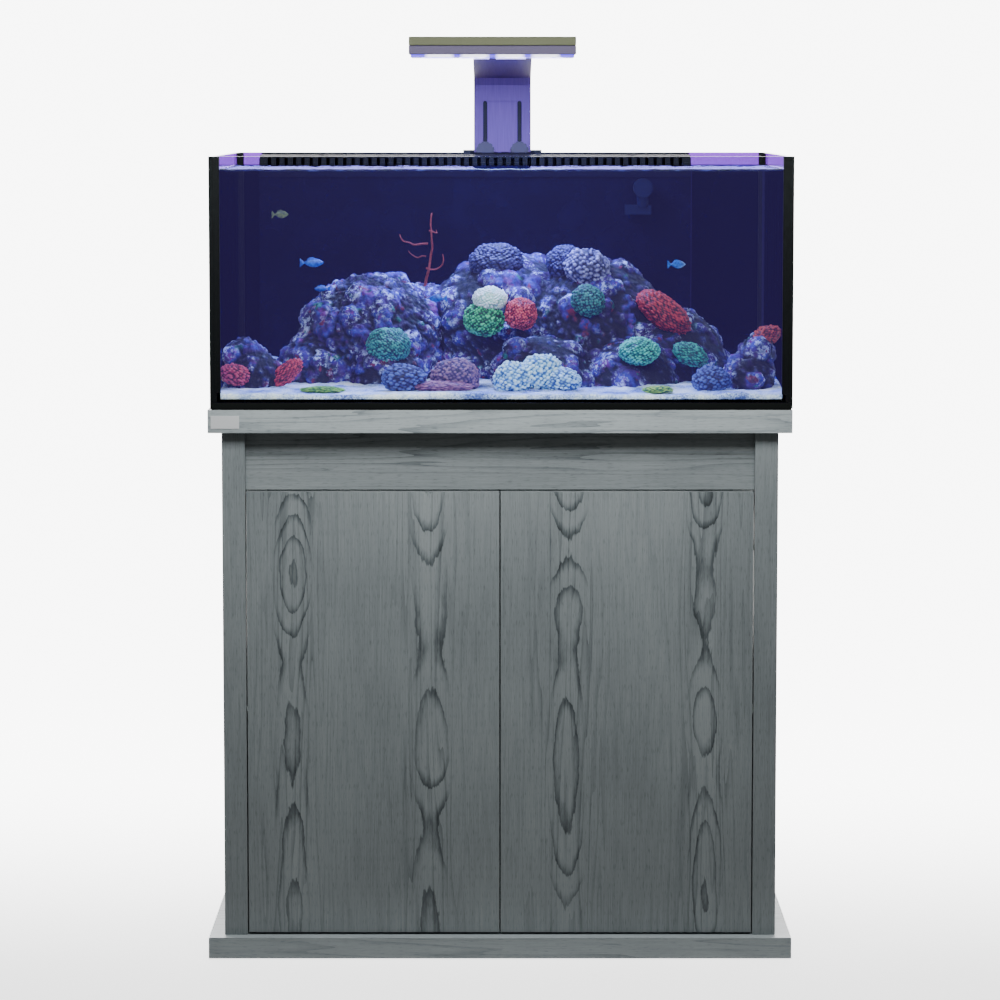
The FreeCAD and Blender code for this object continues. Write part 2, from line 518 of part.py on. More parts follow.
rock_main = node(rockwork("rock_main", MAIN_ROCK))
rock_left = node(rockwork("rock_left", LEFT_ROCK, rock_main))
small_balls = [ball(f"small_mound_{number}", radius, centre)
               for number, (radius, *centre) in enumerate(SMALL_ROCKS)]
node(cut("rock_small", group("small_mounds", *small_balls), rock_floor))

# Coral heads sit in the rock: (radius, centre across, along, up).
CORALS = ((30, -16, -150, 1024), (26, 34, -160, 1002), (34, -176, -150, 955), (30, 222, -190, 948),
          (36, 148, -70, 1074), (34, 274, -96, 1012))
heads = [ball(f"coral_ball_{number}", radius, centre) for number, (radius, *centre) in enumerate(CORALS)]
node(cut("coral_heads", group("coral_balls", *heads), fuse("rock_copy", rock_left, rock_main)))
stem = rod("fan_stem", 4, 120, (-128, 40, 1040))
twigs = [rod("fan_twig_left", 3, 30, (-156, 40, 1110), "x"),
         rod("fan_twig_right", 3, 26, (-128, 40, 1085), "x"),
         rod("fan_tip_left", 3, 34, (-156, 40, 1110)),
         rod("fan_tip_right", 3, 40, (-103, 40, 1083))]
node(cut("gorgonian", fuse("fan_solid", stem, *twigs), fuse("rock_copy_again", rock_left, rock_main)))

# ---- lamp ------------------------------------------------------------------------------------
LAMP_CORNER = ("lamp_left - lamp_width / 2", "lamp_front")
body_block = box("lamp_block", ("lamp_width", "lamp_depth", "lamp_body"), (*LAMP_CORNER, "lamp_under"))
body_space = box("lamp_space", ("lamp_width - 24", "lamp_depth - 24", "lamp_body - 4"),
                 ("lamp_left - lamp_width / 2 + 12", "lamp_front + 12", "lamp_under + 4"))
node(cut("lamp_body", body_block, body_space))
node(box("led_board", ("lamp_width - 30", "lamp_depth - 30", 2),
         ("lamp_left - lamp_width / 2 + 15", "lamp_front + 15", "lamp_under + 4")))
cover_block = box("cover_block", ("lamp_width", "lamp_depth", "lamp_cover"),
                  (*LAMP_CORNER, "lamp_under + lamp_body"))
cover_space = box("cover_space", ("lamp_width - 8", "lamp_depth - 8", "lamp_cover - 2.5"),
                  ("lamp_left - lamp_width / 2 + 4", "lamp_front + 4", "lamp_under + lamp_body"))
cover_slots = [box(f"cover_slot_{number}", (150, 4, 10),
                   ("lamp_left - 75", f"lamp_front + 40 + {number} * 12", "lamp_under + lamp_body + 8"))
               for number in range(10)]
node(cut("lamp_cover", cover_block, cover_space, *cover_slots))
lenses = [box(f"lens_{number}", ("lens_width", "lens_length", "lens_depth"),
              (f"lamp_left + ({number} - 1.5) * lens_pitch - lens_width / 2", "lamp_front + 12",
               "lamp_under - lens_depth")) for number in range(4)]
node(group("lamp_lenses", *lenses))
frame_plate = box("frame_plate",
                  ("lamp_width - 6", "lens_length + 2 * frame_edge", "lens_depth - 1.5"),
                  ("lamp_left - lamp_width / 2 + 3", "lamp_front + 12 - frame_edge",
                   "lamp_under - lens_depth + 1.5"))
frame_windows = [box(f"frame_window_{number}",
                     ("lens_width + 2 * lens_clear", "lens_length + 2 * lens_clear", 20),
                     (f"lamp_left + ({number} - 1.5) * lens_pitch - lens_width / 2 - lens_clear",
                      "lamp_front + 12 - lens_clear", "lamp_under - 10")) for number in range(4)]
node(cut("lens_frame", frame_plate, *frame_windows))
gland_rod = rod("gland_rod", 7, 12,
                ("lamp_left + 90", "lamp_front + lamp_depth", "lamp_under + lamp_body"), "y")
gland_bore = rod("gland_bore", 3.5, 14,
                 ("lamp_left + 90", "lamp_front + lamp_depth + 2", "lamp_under + lamp_body"), "y")
node(cut("cable_gland", gland_rod, gland_bore))

# Arm: a bent plate, upright behind the tank, sloping forward to a tongue under the lamp.
ARM_BACK = DIMENSIONS["arm_back"]
ARM_THICK = DIMENSIONS["arm_thick"]
ARM_BEND = DIMENSIONS["arm_bend"]
ARM_FOOT = DIMENSIONS["arm_foot"]
LAMP_UNDER = DIMENSIONS["lamp_under"]
TONGUE_FRONT = 66
TONGUE_BACK = 112
BEND_CUT = 14
arm_outline = [(ARM_BACK, ARM_FOOT), (ARM_BACK, ARM_BEND - BEND_CUT), (ARM_BACK - BEND_CUT, ARM_BEND),
               (TONGUE_BACK, LAMP_UNDER), (TONGUE_FRONT, LAMP_UNDER), (TONGUE_FRONT, LAMP_UNDER - ARM_THICK),
               (TONGUE_BACK, LAMP_UNDER - ARM_THICK),
               (ARM_BACK - BEND_CUT - 1, ARM_BEND - ARM_THICK),
               (ARM_BACK - ARM_THICK, ARM_BEND - BEND_CUT - 1), (ARM_BACK - ARM_THICK, ARM_FOOT)]
arm_body = profile_body("arm_plate", "YZ_Plane", arm_outline, "arm_width")
place(arm_body, "arm_left", 0, 0)
arm_slots = []
for side in (-1, 1):
    slot_box = box(f"arm_slot_{side + 1}", ("slot_width", 20, "slot_length"),
                   (f"arm_left + {side} * slot_offset - slot_width / 2", "arm_back - 10", "knob_up"))
    slot_ends = [rod(f"slot_end_{side + 1}_{end}", "slot_width / 2", 20,
                     (f"arm_left + {side} * slot_offset", "arm_back - 10",
                      f"knob_up + {end} * slot_length"), "y")
                 for end in (0, 1)]
    arm_slots += [slot_box, *slot_ends]
node(cut("lamp_arm", arm_body, *arm_slots))

# Clamp bracket: back plate as tall as the slots, and two cheeks that hook over the rear pane.
BRACKET_FRONT = "(arm_back + 0.5)"
plate_low = box("bracket_low", (132, f"half_depth - {BRACKET_FRONT}", f"{RIM} + 4 - 1222"),
                ("arm_left - 66", BRACKET_FRONT, 1222))
plate_high = box("bracket_high", ("arm_width - 8", f"half_depth - {BRACKET_FRONT}",
                                  f"knob_up + slot_length + 8 - {RIM} - 4"),
                 ("arm_left - arm_width / 2 + 4", BRACKET_FRONT, f"{RIM} + 4"))
hooks = []
for side in (-1, 1):
    cheek_left = f"arm_left + {side} * hook_offset - hook_width / 2"
    hooks += [box(f"hook_bridge_{side + 1}", ("hook_width", f"half_depth - {TANK_BACK} + glass + 4", 4),
                  (cheek_left, f"{TANK_BACK} - glass - 4", RIM)),
              box(f"hook_lip_{side + 1}", ("hook_width", 3.5, 26),
                  (cheek_left, f"{TANK_BACK} - glass - 4", f"{RIM} - 22")),
              box(f"hook_tab_{side + 1}", ("hook_width", 6, 32),
                  (cheek_left, f"{TANK_BACK} + 3", f"{RIM} - 32"))]
screw_holes = [rod(f"clamp_hole_{side + 1}", "screw_radius", 40,
                   (f"arm_left + {side} * hook_offset", TANK_BACK, f"{RIM} - 20"), "y")
               for side in (-1, 1)]
thread_holes = [rod(f"thread_hole_{side + 1}", "thread_radius + 0.06", 40,
                    (f"arm_left + {side} * slot_offset", "arm_back - 10", "knob_up"), "y")
                for side in (-1, 1)]
node(cut("clamp_bracket", fuse("bracket_solid", plate_low, plate_high, *hooks), *screw_holes, *thread_holes))

screws = []
for side in (-1, 1):
    shank = rod(f"clamp_shank_{side + 1}", "screw_radius", 20,
                (f"arm_left + {side} * hook_offset", TANK_BACK, f"{RIM} - 20"), "y")
    pad = rod(f"clamp_pad_{side + 1}", "2 * screw_radius", 2,
              (f"arm_left + {side} * hook_offset", TANK_BACK, f"{RIM} - 20"), "y")
    screws.append(fuse(f"clamp_screw_{side + 1}", shank, pad))
node(group("clamp_screws", *screws))


def thumb_knob(name, side):
    """Ribbed round knob in front of the arm, on a shank through its slot."""
    across = f"(arm_left + {side} * slot_offset)"
    front = "(arm_back - arm_thick - 0.5 - knob_thick)"
    head = rod(name + "_head", "knob_radius", "knob_thick", (across, front, "knob_up"), "y")
    shank = rod(name + "_shank", "thread_radius", "knob_thick + 8", (across, front, "knob_up"), "y")
    flutes = [rod(f"{name}_flute_{number}", 2, "knob_thick + 2",
                  (f"{across} + (knob_radius + 0.8) * cos({number} * 30)", f"{front} - 1",
                   f"knob_up + (knob_radius + 0.8) * sin({number} * 30)"), "y") for number in range(12)]
    return fuse(name, cut(name + "_grip", head, *flutes), shank)


node(thumb_knob("thumb_knob_left", -1))
node(thumb_knob("thumb_knob_right", 1))

# ---- check and write -------------------------------------------------------------------------
doc.recompute()
for item in doc.Objects:
    if "Invalid" in item.State or "Error" in item.State:
        raise RuntimeError(f"{item.Label} failed: {item.State}")
os.makedirs("parts", exist_ok=True)
for item in NODES:
    shape = item.Shape
    if shape.isNull() or not shape.isValid():
        raise RuntimeError(f"{item.Label} has no valid shape")
    shape.exportStep(f"parts/{item.Label}.step")
print(len(NODES), "nodes written")
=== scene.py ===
"""Reef aquarium on a wood-grain cabinet, with a slim lamp on a bent arm. Metres, +Z up, -Y front."""
import functools
import math

import bmesh
import bpy
import numpy as np
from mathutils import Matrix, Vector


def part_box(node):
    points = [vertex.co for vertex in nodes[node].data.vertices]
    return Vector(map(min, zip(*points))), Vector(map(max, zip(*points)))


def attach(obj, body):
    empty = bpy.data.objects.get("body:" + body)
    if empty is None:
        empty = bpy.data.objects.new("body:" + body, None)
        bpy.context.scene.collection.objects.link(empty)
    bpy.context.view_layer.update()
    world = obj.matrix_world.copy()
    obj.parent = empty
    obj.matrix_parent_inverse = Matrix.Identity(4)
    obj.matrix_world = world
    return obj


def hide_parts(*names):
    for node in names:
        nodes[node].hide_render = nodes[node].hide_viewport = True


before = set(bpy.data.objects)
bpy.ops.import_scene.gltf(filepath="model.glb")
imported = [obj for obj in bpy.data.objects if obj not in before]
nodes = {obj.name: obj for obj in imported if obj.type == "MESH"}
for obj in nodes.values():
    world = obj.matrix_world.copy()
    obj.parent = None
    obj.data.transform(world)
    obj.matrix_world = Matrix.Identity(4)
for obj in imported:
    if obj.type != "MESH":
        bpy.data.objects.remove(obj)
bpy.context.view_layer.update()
place = {name: np.array(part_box(name)) for name in nodes}

# ---- Room -----------------------------------------------------------------------------------
# A pale lit floor that curves up into a pale backdrop, and one wide soft light above the front.
# Neither tints the object, the floor in front is kept out of the glass, and the backdrop is clear
# from behind. The camera stands a little above the tank's rim and looks down.
FLOOR_HALF = 20.0
FLOOR_FRONT = -18.0
FLOOR_SPLIT = -0.45
FLOOR_BACK = 3.2
BACKDROP_TOP = 5.0
SWEEP_RADIUS = 1.2
FLOOR_GLOW = 2.2
BACKDROP_GLOW = 8.0
GLOW_FROM = -0.6
GLOW_TO = 1.4
SKY_STRENGTH = 0.16
CAMERA_AHEAD = 5.943
CAMERA_ABOVE_RIM = 0.0687
CAMERA_TILT = math.radians(5.75)
CAMERA_LENS = 138.9


def linear(code):
    """Linear colour with alpha from an sRGB hex code."""
    parts = [int(code[start:start + 2], 16) / 255 for start in (1, 3, 5)]
    return tuple([part / 12.92 if part <= 0.04045 else ((part + 0.055) / 1.055) ** 2.4
                  for part in parts] + [1.0])


def add(tree, kind, inputs=(), **settings):
    """One shader node: settings are its properties; inputs hold a value or a socket to link from."""
    made = tree.nodes.new("ShaderNode" + kind)
    for key, setting in settings.items():
        setattr(made, key, setting)
    for key, given in dict(inputs).items():
        if isinstance(given, bpy.types.NodeSocket):
            tree.links.new(given, made.inputs[key])
        else:
            made.inputs[key].default_value = given
    return made


def finish_of(name, **inputs):
    """New material with one Principled shader; returns the material, its tree and the shader."""
    material = bpy.data.materials.new(name)
    material.use_nodes = True
    tree = material.node_tree
    tree.nodes.clear()
    shader = add(tree, "BsdfPrincipled", {key.replace("_", " "): given for key, given in inputs.items()})
    add(tree, "OutputMaterial", {"Surface": shader.outputs[0]})
    return material, tree, shader


def ramp(tree, factor, *stops):
    """Colour ramp through (position, hex code) stops."""
    made = add(tree, "ValToRGB", {"Fac": factor})
    elements = made.color_ramp.elements
    while len(elements) < len(stops):
        elements.new(0.5)
    for element, (position, code) in zip(elements, stops):
        element.position = position
        element.color = linear(code)
    return made


def quads(rows, columns, closed):
    """Faces of a grid of points; closed joins the last column to the first."""
    count = columns if closed else columns - 1
    row, column = np.meshgrid(np.arange(rows - 1), np.arange(count), indexing="ij")
    after = (column + 1) % columns
    start, end = row * columns, (row + 1) * columns
    return np.stack((start + column, start + after, end + after, end + column), axis=-1).reshape(-1, 4)


def capped(rings):
    """Closed shell from rings of points: quads between rings and a fan over each end."""
    rows, columns, _ = rings.shape
    points = np.concatenate([rings.reshape(-1, 3), rings[:1].mean(axis=1), rings[-1:].mean(axis=1)])
    around = np.arange(columns)
    after = (around + 1) % columns
    last = (rows - 1) * columns
    start_fan = np.stack([np.full(columns, rows * columns), after, around], axis=-1)
    end_fan = np.stack([np.full(columns, rows * columns + 1), last + around, last + after], axis=-1)
    return points, quads(rows, columns, True).tolist() + start_fan.tolist() + end_fan.tolist()


def piece(name, shells, material, body, slot, smooth=True, **attributes):
    """Object from shells of (points, faces), with its normals turned outwards."""
    points, faces, start = [], [], 0
    for shell_points, shell_faces in shells:
        points.append(shell_points)
        faces += [[start + corner for corner in face] for face in shell_faces]
        start += len(shell_points)
    mesh = bpy.data.meshes.new(name)
    mesh.from_pydata(np.concatenate(points), [], faces)
    for key, numbers in attributes.items():
        attribute = mesh.attributes.new(key, "FLOAT", "POINT")
        attribute.data.foreach_set("value", np.asarray(numbers, dtype=np.float32))
    shape = bmesh.new()
    shape.from_mesh(mesh)
    bmesh.ops.recalc_face_normals(shape, faces=shape.faces)
    shape.to_mesh(mesh)
    shape.free()
    mesh.polygons.foreach_set("use_smooth", np.full(len(mesh.polygons), smooth))
    made = bpy.data.objects.new(name, mesh)
    bpy.context.scene.collection.objects.link(made)
    made.data.materials.append(material)
    if body:
        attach(made, body)
    return made


plaster, plaster_tree, plaster_shader = finish_of("pale_studio_floor", Base_Color=linear("#e2e2e2"),
                                                  Roughness=0.9)
floor_at = add(plaster_tree, "SeparateXYZ", {0: add(plaster_tree, "TexCoord").outputs["Object"]})
glow = add(plaster_tree, "MapRange", {"Value": floor_at.outputs[1], "From Min": GLOW_FROM, "From Max": GLOW_TO,
                                      "To Min": FLOOR_GLOW, "To Max": BACKDROP_GLOW},
           interpolation_type="SMOOTHSTEP")
plaster_tree.links.new(glow.outputs[0], plaster_shader.inputs["Emission Strength"])
plaster_shader.inputs["Emission Color"].default_value = linear("#ffffff")
one_sided = add(plaster_tree, "MixShader", {0: add(plaster_tree, "NewGeometry").outputs["Backfacing"],
                                            1: plaster_shader.outputs[0],
                                            2: add(plaster_tree, "BsdfTransparent").outputs[0]})
plaster_tree.links.new(one_sided.outputs[0], plaster_tree.nodes["Material Output"].inputs["Surface"])
sweep_turn = np.linspace(0, math.pi / 2, 12)
sweep_line = np.concatenate([
    [[FLOOR_FRONT, 0.0], [FLOOR_SPLIT, 0.0]],
    np.stack([FLOOR_BACK - SWEEP_RADIUS + SWEEP_RADIUS * np.sin(sweep_turn),
              SWEEP_RADIUS - SWEEP_RADIUS * np.cos(sweep_turn)], axis=-1),
    [[FLOOR_BACK, BACKDROP_TOP]]])
sweep_points = np.stack([np.concatenate([np.full((len(sweep_line), 1), side * FLOOR_HALF), sweep_line], axis=1)
                         for side in (-1, 1)], axis=1)
for name, part in (("studio_floor_front", sweep_points[:2]), ("studio_backdrop", sweep_points[1:])):
    sweep = piece(name, [(part.reshape(-1, 3), quads(len(part), 2, False).tolist())], plaster, None, None)
    if sweep.data.polygons[0].normal.z < 0:
        sweep.data.flip_normals()
    sweep.visible_diffuse = False
    sweep.visible_glossy = name == "studio_backdrop"

world = bpy.data.worlds.new("studio_air")
bpy.context.scene.world = world
world.use_nodes = True
world.node_tree.nodes["Background"].inputs["Color"].default_value = linear("#ffffff")
world.node_tree.nodes["Background"].inputs["Strength"].default_value = SKY_STRENGTH


def soft_light(name, width, height, power, position, target, colour="#ffffff"):
    """Rectangular area light aimed at a point."""
    lamp = bpy.data.lights.new(name, "AREA")
    lamp.shape = "RECTANGLE"
    lamp.size = width
    lamp.size_y = height
    lamp.energy = power
    lamp.color = linear(colour)[:3]
    holder = bpy.data.objects.new(name, lamp)
    bpy.context.scene.collection.objects.link(holder)
    holder.visible_camera = False
    aim = np.array(target) - np.array(position)
    holder.location = position
    holder.rotation_euler = (math.atan2(math.hypot(aim[0], aim[1]), -aim[2]), 0,
                             math.atan2(-aim[0], aim[1]))
    return holder


soft_light("key_light", 1.3, 0.36, 17.5, (0.0, -1.0, 1.47), (0, -0.3, 0.9))

RIM = place["front_pane"][1][2]
TANK_FRONT = place["front_pane"][0][1]
camera = bpy.data.objects.new("camera", bpy.data.cameras.new("camera"))
bpy.context.scene.collection.objects.link(camera)
camera.location = (0, TANK_FRONT - CAMERA_AHEAD, RIM + CAMERA_ABOVE_RIM)
camera.rotation_euler = (math.pi / 2 - CAMERA_TILT, 0, 0)
camera.data.lens = CAMERA_LENS
camera.data.sensor_width = 36
bpy.context.scene.camera = camera

# ---- Cabinet boards --------------------------------------------------------------------------
# Melamine boards with a printed and embossed oak grain, stained grey: plinth, side panels,
# header, rails and top board. Sides and doors have upright grain; the long boards lie flat.
FIGURE_PITCH = 0.2145
RING_SPACING = 0.0125
FIBRE_WIDTH = 0.0013
LINES_PER_METRE = 60.0
EDGE_ROUND = 0.0008
FIGURE_SHIFT = 0.0763


def maths_in(tree, kind, *terms):
    """One arithmetic step."""
    return add(tree, "Math", dict(enumerate(terms)), operation=kind).outputs[0]


def oak_laminate(name, upright, shift=0.0, figure_depth=1.0, face=1.0, front_edge_painted_light=1.0):
    """Grey oak decor. Ring number = distance from a wandering pith line / ring spacing, so rings
    close into long eyes where the pith comes near the face and run straight between the figures.
    Face and the front-edge factor paint light and shade: they make the flat sides and front edge paler or darker."""
    material, tree, shader = finish_of(name, Roughness=0.46, Specular_IOR_Level=0.42)
    maths = functools.partial(maths_in, tree)
    coordinates = add(tree, "TexCoord")
    at = add(tree, "SeparateXYZ", {0: coordinates.outputs["Object"]}).outputs
    facing = add(tree, "SeparateXYZ", {0: coordinates.outputs["Normal"]}).outputs
    end_face = maths("GREATER_THAN", maths("ABSOLUTE", facing[0]), 0.7)
    level = maths("ADD", at[1], at[2])
    wide = maths("ADD", at[0], at[1])
    if upright:
        along, across = at[2], wide
    else:
        along = add(tree, "Mix", {0: end_face, 2: at[0], 3: at[1]}, data_type="FLOAT").outputs[0]
        across = add(tree, "Mix", {0: end_face, 2: level, 3: at[2]}, data_type="FLOAT").outputs[0]
    line = add(tree, "CombineXYZ", {0: across, 1: along}).outputs[0]

    def stretched(across_scale, along_scale, detail, roughness=0.5, offset=0.0):
        """Noise with its own scale across and along the grain."""
        mapped = add(tree, "Mapping", {0: line, 1: (offset, offset * 0.7, offset),
                                       3: (across_scale, along_scale, 1)})
        return add(tree, "TexNoise", {"Vector": mapped.outputs[0], "Scale": 1.0, "Detail": detail,
                                      "Roughness": roughness}).outputs[0]

    wander = maths("MULTIPLY_ADD", stretched(7, 2.2, 2), 0.022, -0.011)
    shifted = maths("ADD", maths("ADD", across, shift), wander)
    column = maths("DIVIDE", shifted, FIGURE_PITCH)
    number = maths("FLOOR", column)
    beside = maths("MULTIPLY", maths("SUBTRACT", maths("FRACT", column), 0.5), FIGURE_PITCH)
    depth_place = add(tree, "CombineXYZ", {0: maths("MULTIPLY", number, 7.31),
                                           1: maths("MULTIPLY", along, 2.9)}).outputs[0]
    depth_noise = add(tree, "TexNoise", {"Vector": depth_place, "Scale": 1.0, "Detail": 1.0}).outputs[0]
    depth = maths("MULTIPLY", maths("SUBTRACT", depth_noise, 0.28), 0.19)
    wavy = maths("MULTIPLY_ADD", stretched(16, 14, 2, 0.5, 4.0), 0.012, -0.006)
    stretch = maths("MULTIPLY", maths("ADD", beside, wavy), 1.45)
    distance = maths("SQRT", maths("ADD", maths("MULTIPLY", stretch, stretch), maths("MULTIPLY", depth, depth)))
    ragged = maths("MULTIPLY_ADD", stretched(130, 24, 3, 0.7, 3.0), 0.0062, distance)
    ring = maths("FRACT", maths("DIVIDE", ragged, RING_SPACING))
    outline = add(tree, "MapRange", {"Value": ring, "From Min": 0.55, "From Max": 0.93}).outputs[0]
    sudden = add(tree, "MapRange", {"Value": ring, "From Min": 1.0, "From Max": 0.95}).outputs[0]
    late_wood = maths("MULTIPLY", maths("POWER", outline, 1.6), sudden)
    figure = add(tree, "MapRange", {"Value": maths("ABSOLUTE", beside), "From Min": 0.017, "From Max": 0.030,
                                    "To Min": figure_depth, "To Max": 0.0}).outputs[0]
    patches = add(tree, "MapRange", {"Value": stretched(30, 5, 2, 0.5, 9.0), "From Min": 0.36, "From Max": 0.58,
                                     "To Min": 0.45, "To Max": 1.0}).outputs[0]
    rings = maths("MULTIPLY", late_wood, maths("MULTIPLY", figure, patches))
    drift = stretched(26, 1.1, 2, 0.5, 6.0)
    straight = maths("FRACT", maths("MULTIPLY_ADD", drift, 9.0, maths("MULTIPLY", across, LINES_PER_METRE)))
    straight_line = add(tree, "MapRange", {"Value": straight, "From Min": 0.60, "From Max": 1.0}).outputs[0]
    beside_figure = add(tree, "MapRange", {"Value": maths("ABSOLUTE", beside), "From Min": 0.020,
                                           "From Max": 0.075, "To Min": 1.0, "To Max": 0.25}).outputs[0]
    lines = maths("MULTIPLY", straight_line, maths("MULTIPLY", beside_figure, patches))
    fibre = stretched(1 / FIBRE_WIDTH, 12, 3, 0.65, 1.0)
    pores = add(tree, "MapRange", {"Value": stretched(900, 70, 1, 0.5, 5.0), "From Min": 0.58,
                                   "From Max": 0.70}).outputs[0]
    clouds = stretched(6, 2.5, 4, 0.55, 2.0)
    tone = maths("MULTIPLY_ADD", fibre, 0.40, 0.20)
    tone = maths("MULTIPLY_ADD", clouds, 0.36, tone)
    tone = maths("MULTIPLY_ADD", rings, -0.50, tone)
    tone = maths("MULTIPLY_ADD", lines, -0.24, tone)
    tone = maths("MULTIPLY_ADD", pores, -0.14, tone)
    eye = add(tree, "MapRange", {"Value": maths("ABSOLUTE", beside), "From Min": 0.008, "From Max": 0.022,
                                 "To Min": 0.06, "To Max": 0.0}).outputs[0]
    tone = maths("ADD", tone, maths("MULTIPLY", eye, figure_depth))
    colour = ramp(tree, tone, (0.0, "#32383b"), (0.30, "#565e61"), (0.58, "#7d8587"), (0.85, "#98a0a1"))
    # Painted light and shade: the colour is scaled by which way the face looks.
    painted_light_by_facing = add(tree, "MapRange", {"Value": facing[1], "From Min": -0.4, "From Max": -0.8, "To Min": face,
                                   "To Max": front_edge_painted_light}).outputs[0]
    grain_with_painted_light = add(tree, "Mix", {0: 1.0, 6: colour.outputs[0], 7: painted_light_by_facing}, data_type="RGBA",
                blend_type="MULTIPLY").outputs[2]
    tree.links.new(grain_with_painted_light, shader.inputs["Base Color"])
    bump = add(tree, "Bump", {"Strength": 0.5, "Distance": 0.0004, "Height": tone}).outputs[0]
    tree.links.new(bump, shader.inputs["Normal"])
    return material


def coat(material, *names):
    """Give CAD nodes a material."""
    for name in names:
        for holder in nodes[name].material_slots:
            holder.material = material


def soften(width, *names):
    """Round the sharp edges of CAD nodes."""
    for name in names:
        weld = nodes[name].modifiers.new("weld", "WELD")
        weld.merge_threshold = 0.00002
        bevel = nodes[name].modifiers.new("rounded_edges", "BEVEL")
        bevel.width = width
        bevel.segments = 2
        bevel.limit_method = "ANGLE"
        bevel.angle_limit = math.radians(40)


upright_oak = oak_laminate("grey_oak_laminate_upright", True, FIGURE_SHIFT)
flat_oak = oak_laminate("grey_oak_laminate_flat", False, figure_depth=0.15)
coat(upright_oak, "side_panel_left", "side_panel_right")
# Painted light and shade: top board front paler, its top darker; plinth top ledge and front paler.
top_board_oak_painted_light = oak_laminate("grey_oak_laminate_top_painted_light", False, figure_depth=0.1, face=0.42, front_edge_painted_light=1.65)
plinth_oak_painted_light = oak_laminate("grey_oak_laminate_plinth_painted_light", False, figure_depth=0.15, face=2.2, front_edge_painted_light=1.35)
coat(flat_oak, "header_panel", "top_rails")
coat(plinth_oak_painted_light, "plinth_board")
coat(top_board_oak_painted_light, "top_board")
soften(EDGE_ROUND, "side_panel_left", "side_panel_right", "plinth_board", "header_panel", "top_board")

# The back panel is the same board without figure; six nylon glides carry the plinth, and a small
# blank plate of brushed aluminium is let on to the top board's left end.
back_board, back_tree, back_shader = finish_of("grey_melamine_back", Roughness=0.6)
back_speck = add(back_tree, "TexNoise", {"Vector": add(back_tree, "TexCoord").outputs["Object"],
                                         "Scale": 420.0, "Detail": 3.0})
back_tint = ramp(back_tree, back_speck.outputs[0], (0.3, "#5c6264"), (0.7, "#757b7d"))
back_tree.links.new(back_tint.outputs[0], back_shader.inputs["Base Color"])
coat(back_board, "back_panel")


def moulded(name, dark, light, roughness, grit=0.0006, **inputs):
    """Moulded or brushed finish: fine grain of two tones with a matching bump."""
    material, tree, shader = finish_of(name, Roughness=roughness, **inputs)
    grain = add(tree, "TexNoise", {"Vector": add(tree, "TexCoord").outputs["Object"],
                                   "Scale": 1 / grit, "Detail": 2.0})
    tint = ramp(tree, grain.outputs[0], (0.3, dark), (0.7, light))
    tree.links.new(tint.outputs[0], shader.inputs["Base Color"])
    bump = add(tree, "Bump", {"Strength": 0.25, "Distance": 0.0001, "Height": grain.outputs[0]})
    tree.links.new(bump.outputs[0], shader.inputs["Normal"])
    return material


coat(moulded("black_nylon", "#17181a", "#222427", 0.5), "floor_glides")
coat(moulded("brushed_aluminium_plate", "#c4c8ca", "#dde0e1", 0.4, Metallic=0.2), "badge_plate")

# ---- Doors -----------------------------------------------------------------------------------
# Two flush doors without handles, cut from one sheet so that the grain runs on. They hang on
# nickel-plated concealed hinges and open by spring latches behind the header.
coat(upright_oak, "door_left", "door_right")
soften(EDGE_ROUND, "door_left", "door_right")
nickel = moulded("nickel_plated_steel", "#9ea2a3", "#b8bcbd", 0.28, Metallic=1.0)
coat(nickel, "hinge_cups_left", "hinge_cups_right", "hinge_links_left", "hinge_links_right",
     "hinge_arms", "clamp_screws")
coat(moulded("grey_abs_latch", "#3a3c3f", "#484b4e", 0.45), "latch_housings", "latch_plunger_left",
     "latch_plunger_right")

# ---- Tank glass ------------------------------------------------------------------------------
# Float glass panes bonded with black silicone on a thin foam mat. The cut edges are dark green;
# the rear pane has a deep blue film up to the waterline.
WATER_LEVEL = RIM - 0.0205
LOW_SHEEN = 1.15
# Violet for the glass above the waterline: painted lamp light.
PAINTED_VIOLET_LAMP_LIGHT = "#8c62ae"
inside_low = np.array([place["left_pane"][1][0], place["front_pane"][1][1], place["base_pane"][1][2]])
inside_high = np.array([place["right_pane"][0][0], place["rear_pane"][0][1], WATER_LEVEL])


def outer_sheen(tree, ior):
    """Mirror share of a clear wall: Fresnel's, on the faces that light enters by and no others."""
    inward = maths_in(tree, "SUBTRACT", 1.0, add(tree, "NewGeometry").outputs["Backfacing"])
    return maths_in(tree, "MULTIPLY", add(tree, "Fresnel", {"IOR": ior}).outputs[0], inward)


